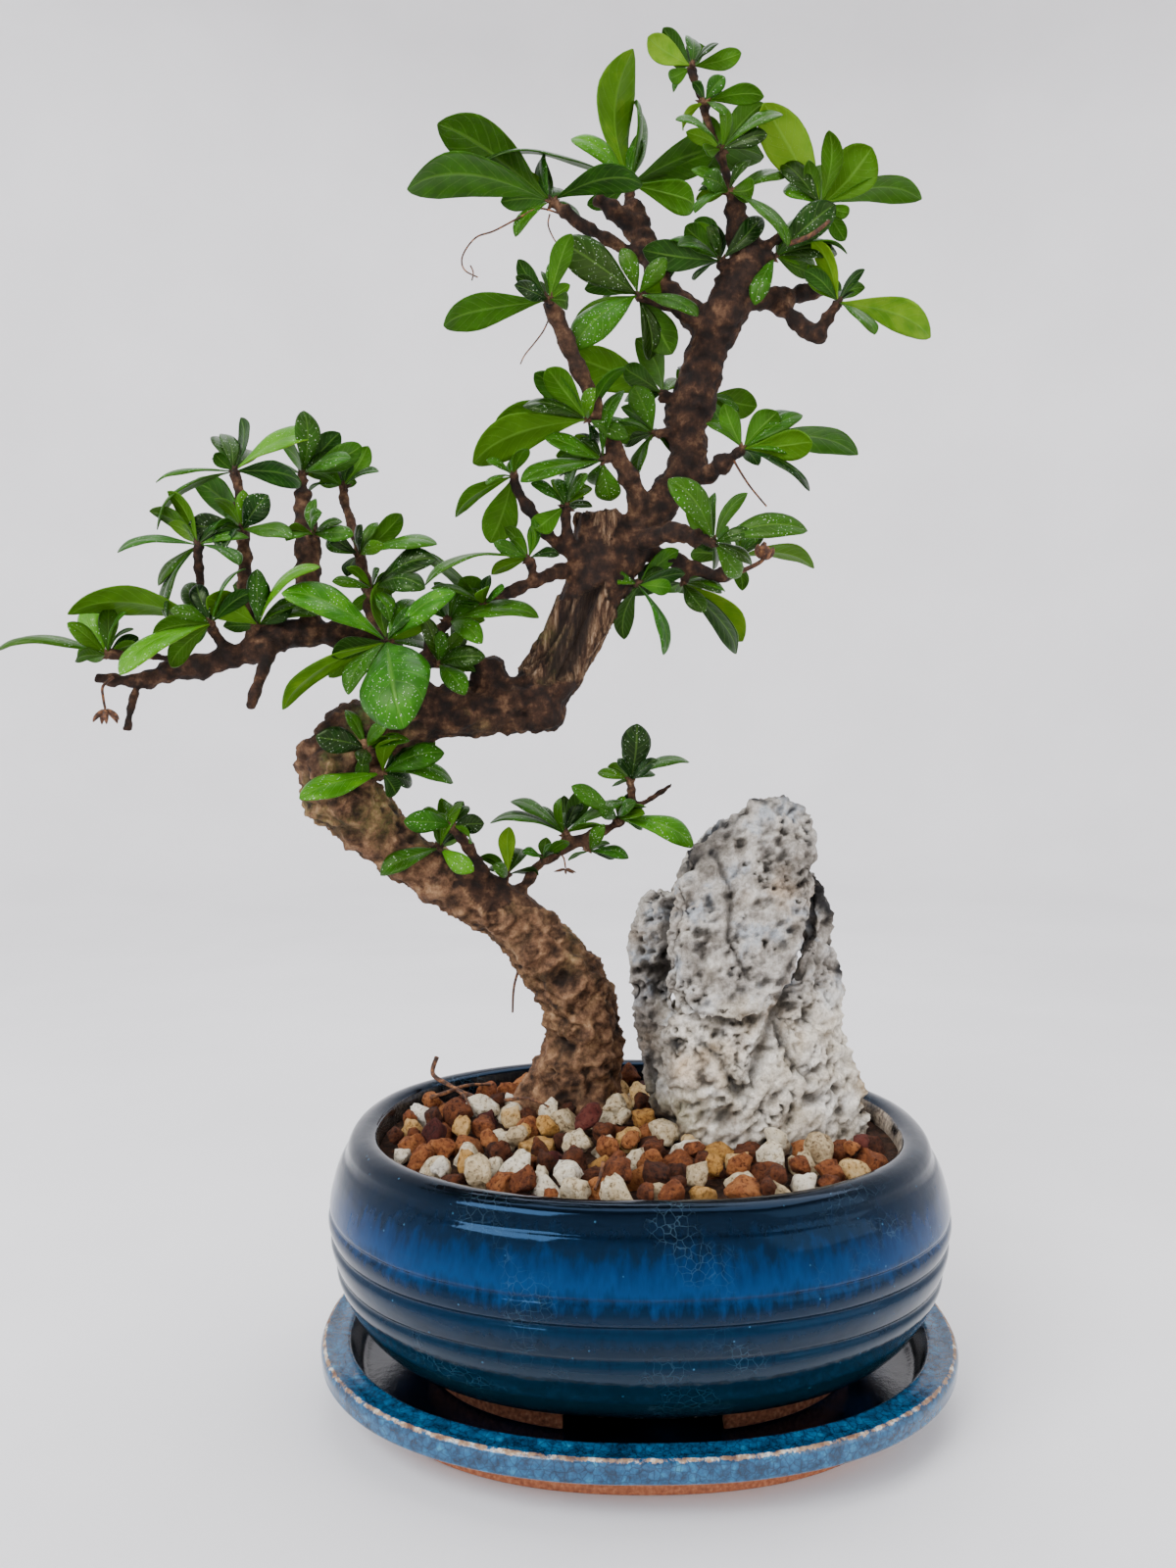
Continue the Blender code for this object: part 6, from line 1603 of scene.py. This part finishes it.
def petals(centre, way, count, length, width, curl):
    """Curled sepals round a centre, as short bent strips."""
    centre, way = on_tree(*centre), unit(np.array(way, float))
    side = unit(np.cross(way, (0.2, 0.9, 0.1)))
    other = np.cross(way, side)
    strips = []
    for number in range(count):
        turn = number * 2 * math.pi / count + CHANCE.uniform(-0.3, 0.3)
        out = side * math.cos(turn) + other * math.sin(turn)
        bend = curl * CHANCE.uniform(0.6, 1.3)
        rows = []
        for share in np.linspace(0, 1, 6):
            reach = length * share
            place = centre + out * (0.5 + reach * (1 - bend * share * 0.6)) + way * reach * bend
            rows.append((*place, width * math.sin(math.pi * (0.25 + 0.7 * share))))
        strips.append(np.array(rows))
    return strips


WITHERED = make_withered()
piece("withered_flower_left", tubes("withered left", [
    strand(((-167, -12, 154), (-169.5, -14, 151), (-169, -15, 147), (-168.5, -15, 144)), 0.5, 0.4),
    *petals((-168.5, -15, 143.5), (0.1, 0, -1), 5, 5.5, 0.9, 0.75)]),
    [WITHERED], ["dried_flower_left"])
piece("withered_flower_right", tubes("withered right", [
    strand(((37, 36, 193), (41, 33, 194.5), (44, 31, 196), (46, 31, 198)), 0.9, 0.7),
    *petals((45, 31, 197.5), (0.25, -0.1, 1), 6, 4.8, 1.5, 0.9)]),
    [WITHERED], ["dried_flower_right"])
piece("withered_star", tubes("withered star", [
    strand(((-25, 34, 96), (-26, 33, 93), (-25, 31, 91), (-24.5, 30, 88)), 0.35, 0.3),
    *petals((-24.5, 30, 87.5), (0, -0.4, -1), 6, 4.2, 0.5, 0.25)]), [WITHERED])
piece("thin_stalks", tubes("thin stalks", [
    strand(((-26, 25, 313), (-33, 22, 313.5), (-40, 20, 309.5), (-48, 18, 304.5), (-54, 15, 301),
            (-58, 12, 294), (-57.5, 12, 289.5), (-53, 12, 287)), 0.35, 0.25),
    strand(((-55.5, 12.5, 291), (-54.5, 12, 288.5), (-55, 12, 286)), 0.25, 0.25),
    strand(((-29.5, 23, 312), (-30, 22, 308), (-28, 21, 303), (-25, 20, 299)), 0.3, 0.22),
    strand(((-29, 3, 271), (-31, 4, 267), (-34, 4, 263), (-37, 3, 259), (-38.5, 3, 256)),
           0.3, 0.22),
    strand(((32, 13, 228), (34, 12, 224), (37.5, 10, 218), (43, 10, 211.5)), 0.45, 0.3),
    strand(((-40, 29, 60), (-41, 30, 53), (-43, 30, 45), (-43.5, 30, 36)), 0.6, 0.35),
    ]), [WITHERED])
piece("fallen_twigs", tubes("fallen twigs", [
    strand(((-72, 40, 17), (-73, 36, 12), (-67, 30, 10), (-61, 24, 9), (-52, 20, 7)), 0.9, 0.7),
    strand(((-72, 21, 8), (-67, 23, 9), (-60, 30, 9.5), (-52, 36, 8)), 0.8, 0.5),
    strand(((-64, 27, 9), (-60, 20, 9), (-57, 12, 7.5)), 0.6, 0.4),
    strand(((-12, -45, 10), (-13, -49, 7), (-14.5, -52, 4.5)), 0.6, 0.4),
    strand(((-46, 24, 6), (-38, 20, 8), (-30, 14, 7)), 0.7, 0.4),
    strand(((50, 15, 299), (57, 12, 300.5), (63, 10, 304.5)), 0.9, 0.6),
    ]), [WITHERED])

# %% [markdown]
# ## The stage
#
# A plain pale backdrop: a table that curves up into a wall a good metre away, so that it has no
# corner. It isn't part of the object, so it rides on no body.

# %% Backdrop
def make_stage():
    profile = smoothed(((0, 0), (500, 0), (1000, 0), (1250, 40), (1400, 200), (1450, 500),
                        (1450, 1500), (1450, 2400)), 8)
    angles = np.linspace(0, 2 * math.pi, 96, endpoint=False)
    rings = [np.column_stack((np.cos(angles) * max(r, 1), np.sin(angles) * max(r, 1),
                              np.full(96, z - 0.2))) for r, z in profile]
    mesh = lofted("backdrop", rings)
    bm = bmesh.new()
    bm.from_mesh(mesh)
    bmesh.ops.delete(bm, geom=[max(bm.faces, key=lambda face: face.calc_center_median().z)],
                     context="FACES_ONLY")
    bm.to_mesh(mesh)
    bm.free()
    finish, tree, shader = new_finish("painted backdrop", Roughness=0.85)
    shader.inputs["Specular IOR Level"].default_value = 0.2
    place = millimetres(tree)
    clouds = add(tree, "TexNoise", {"Vector": place, "Scale": 1 / 180, "Detail": 6})
    colour = add(tree, "ValToRGB", {"Fac": clouds, "stops": [
        (0.35, "#efedee"), (0.65, "#f5f3f4")]})
    tree.links.new(colour.outputs[0], shader.inputs["Base Color"])
    mesh.materials.append(finish)
    mesh.shade_smooth()
    linked("backdrop", mesh)


make_stage()

# %% [markdown]
# The light is soft daylight: one broad source high on the left front, a weaker one from the
# right, one from above and behind that lights the edges of the leaves, and a pale sky.

# %% Soft studio light
LIT_PLACE = (-0.02, 0, 0.2)  # the middle of the plant, which every lamp faces


def area_light(name, place, size, power, colour="#ffffff"):
    data = bpy.data.lights.new(name, "AREA")
    data.shape = "RECTANGLE"
    data.size, data.size_y = size
    data.energy = power
    data.color = linear(colour)[:3]
    lamp = linked(name, data)
    lamp.location = place
    aim = Vector(LIT_PLACE) - Vector(place)
    lamp.rotation_euler = aim.to_track_quat("-Z", "Y").to_euler()


area_light("window", (-0.75, -0.85, 1.15), (0.8, 0.6), 21, "#fbfdff")
area_light("fill", (1.0, -0.7, 0.7), (0.9, 0.9), 4.5, "#fffaf2")
area_light("sky panel", (0.1, 0.35, 1.5), (1.4, 1.1), 17, "#f6faff")
world = bpy.data.worlds.new("pale sky")
world.use_nodes = True
world.node_tree.nodes["Background"].inputs["Color"].default_value = linear("#e8ecf0")
world.node_tree.nodes["Background"].inputs["Strength"].default_value = 0.5
bpy.context.scene.world = world

# %% Camera
def make_camera():
    data = bpy.data.cameras.new("camera")
    data.lens = 27
    camera = linked("camera", data)
    camera.location = (-16.5 * MM, -386 * MM, 220 * MM)
    camera.rotation_euler = (math.radians(87), 0, 0)
    bpy.context.scene.camera = camera


make_camera()
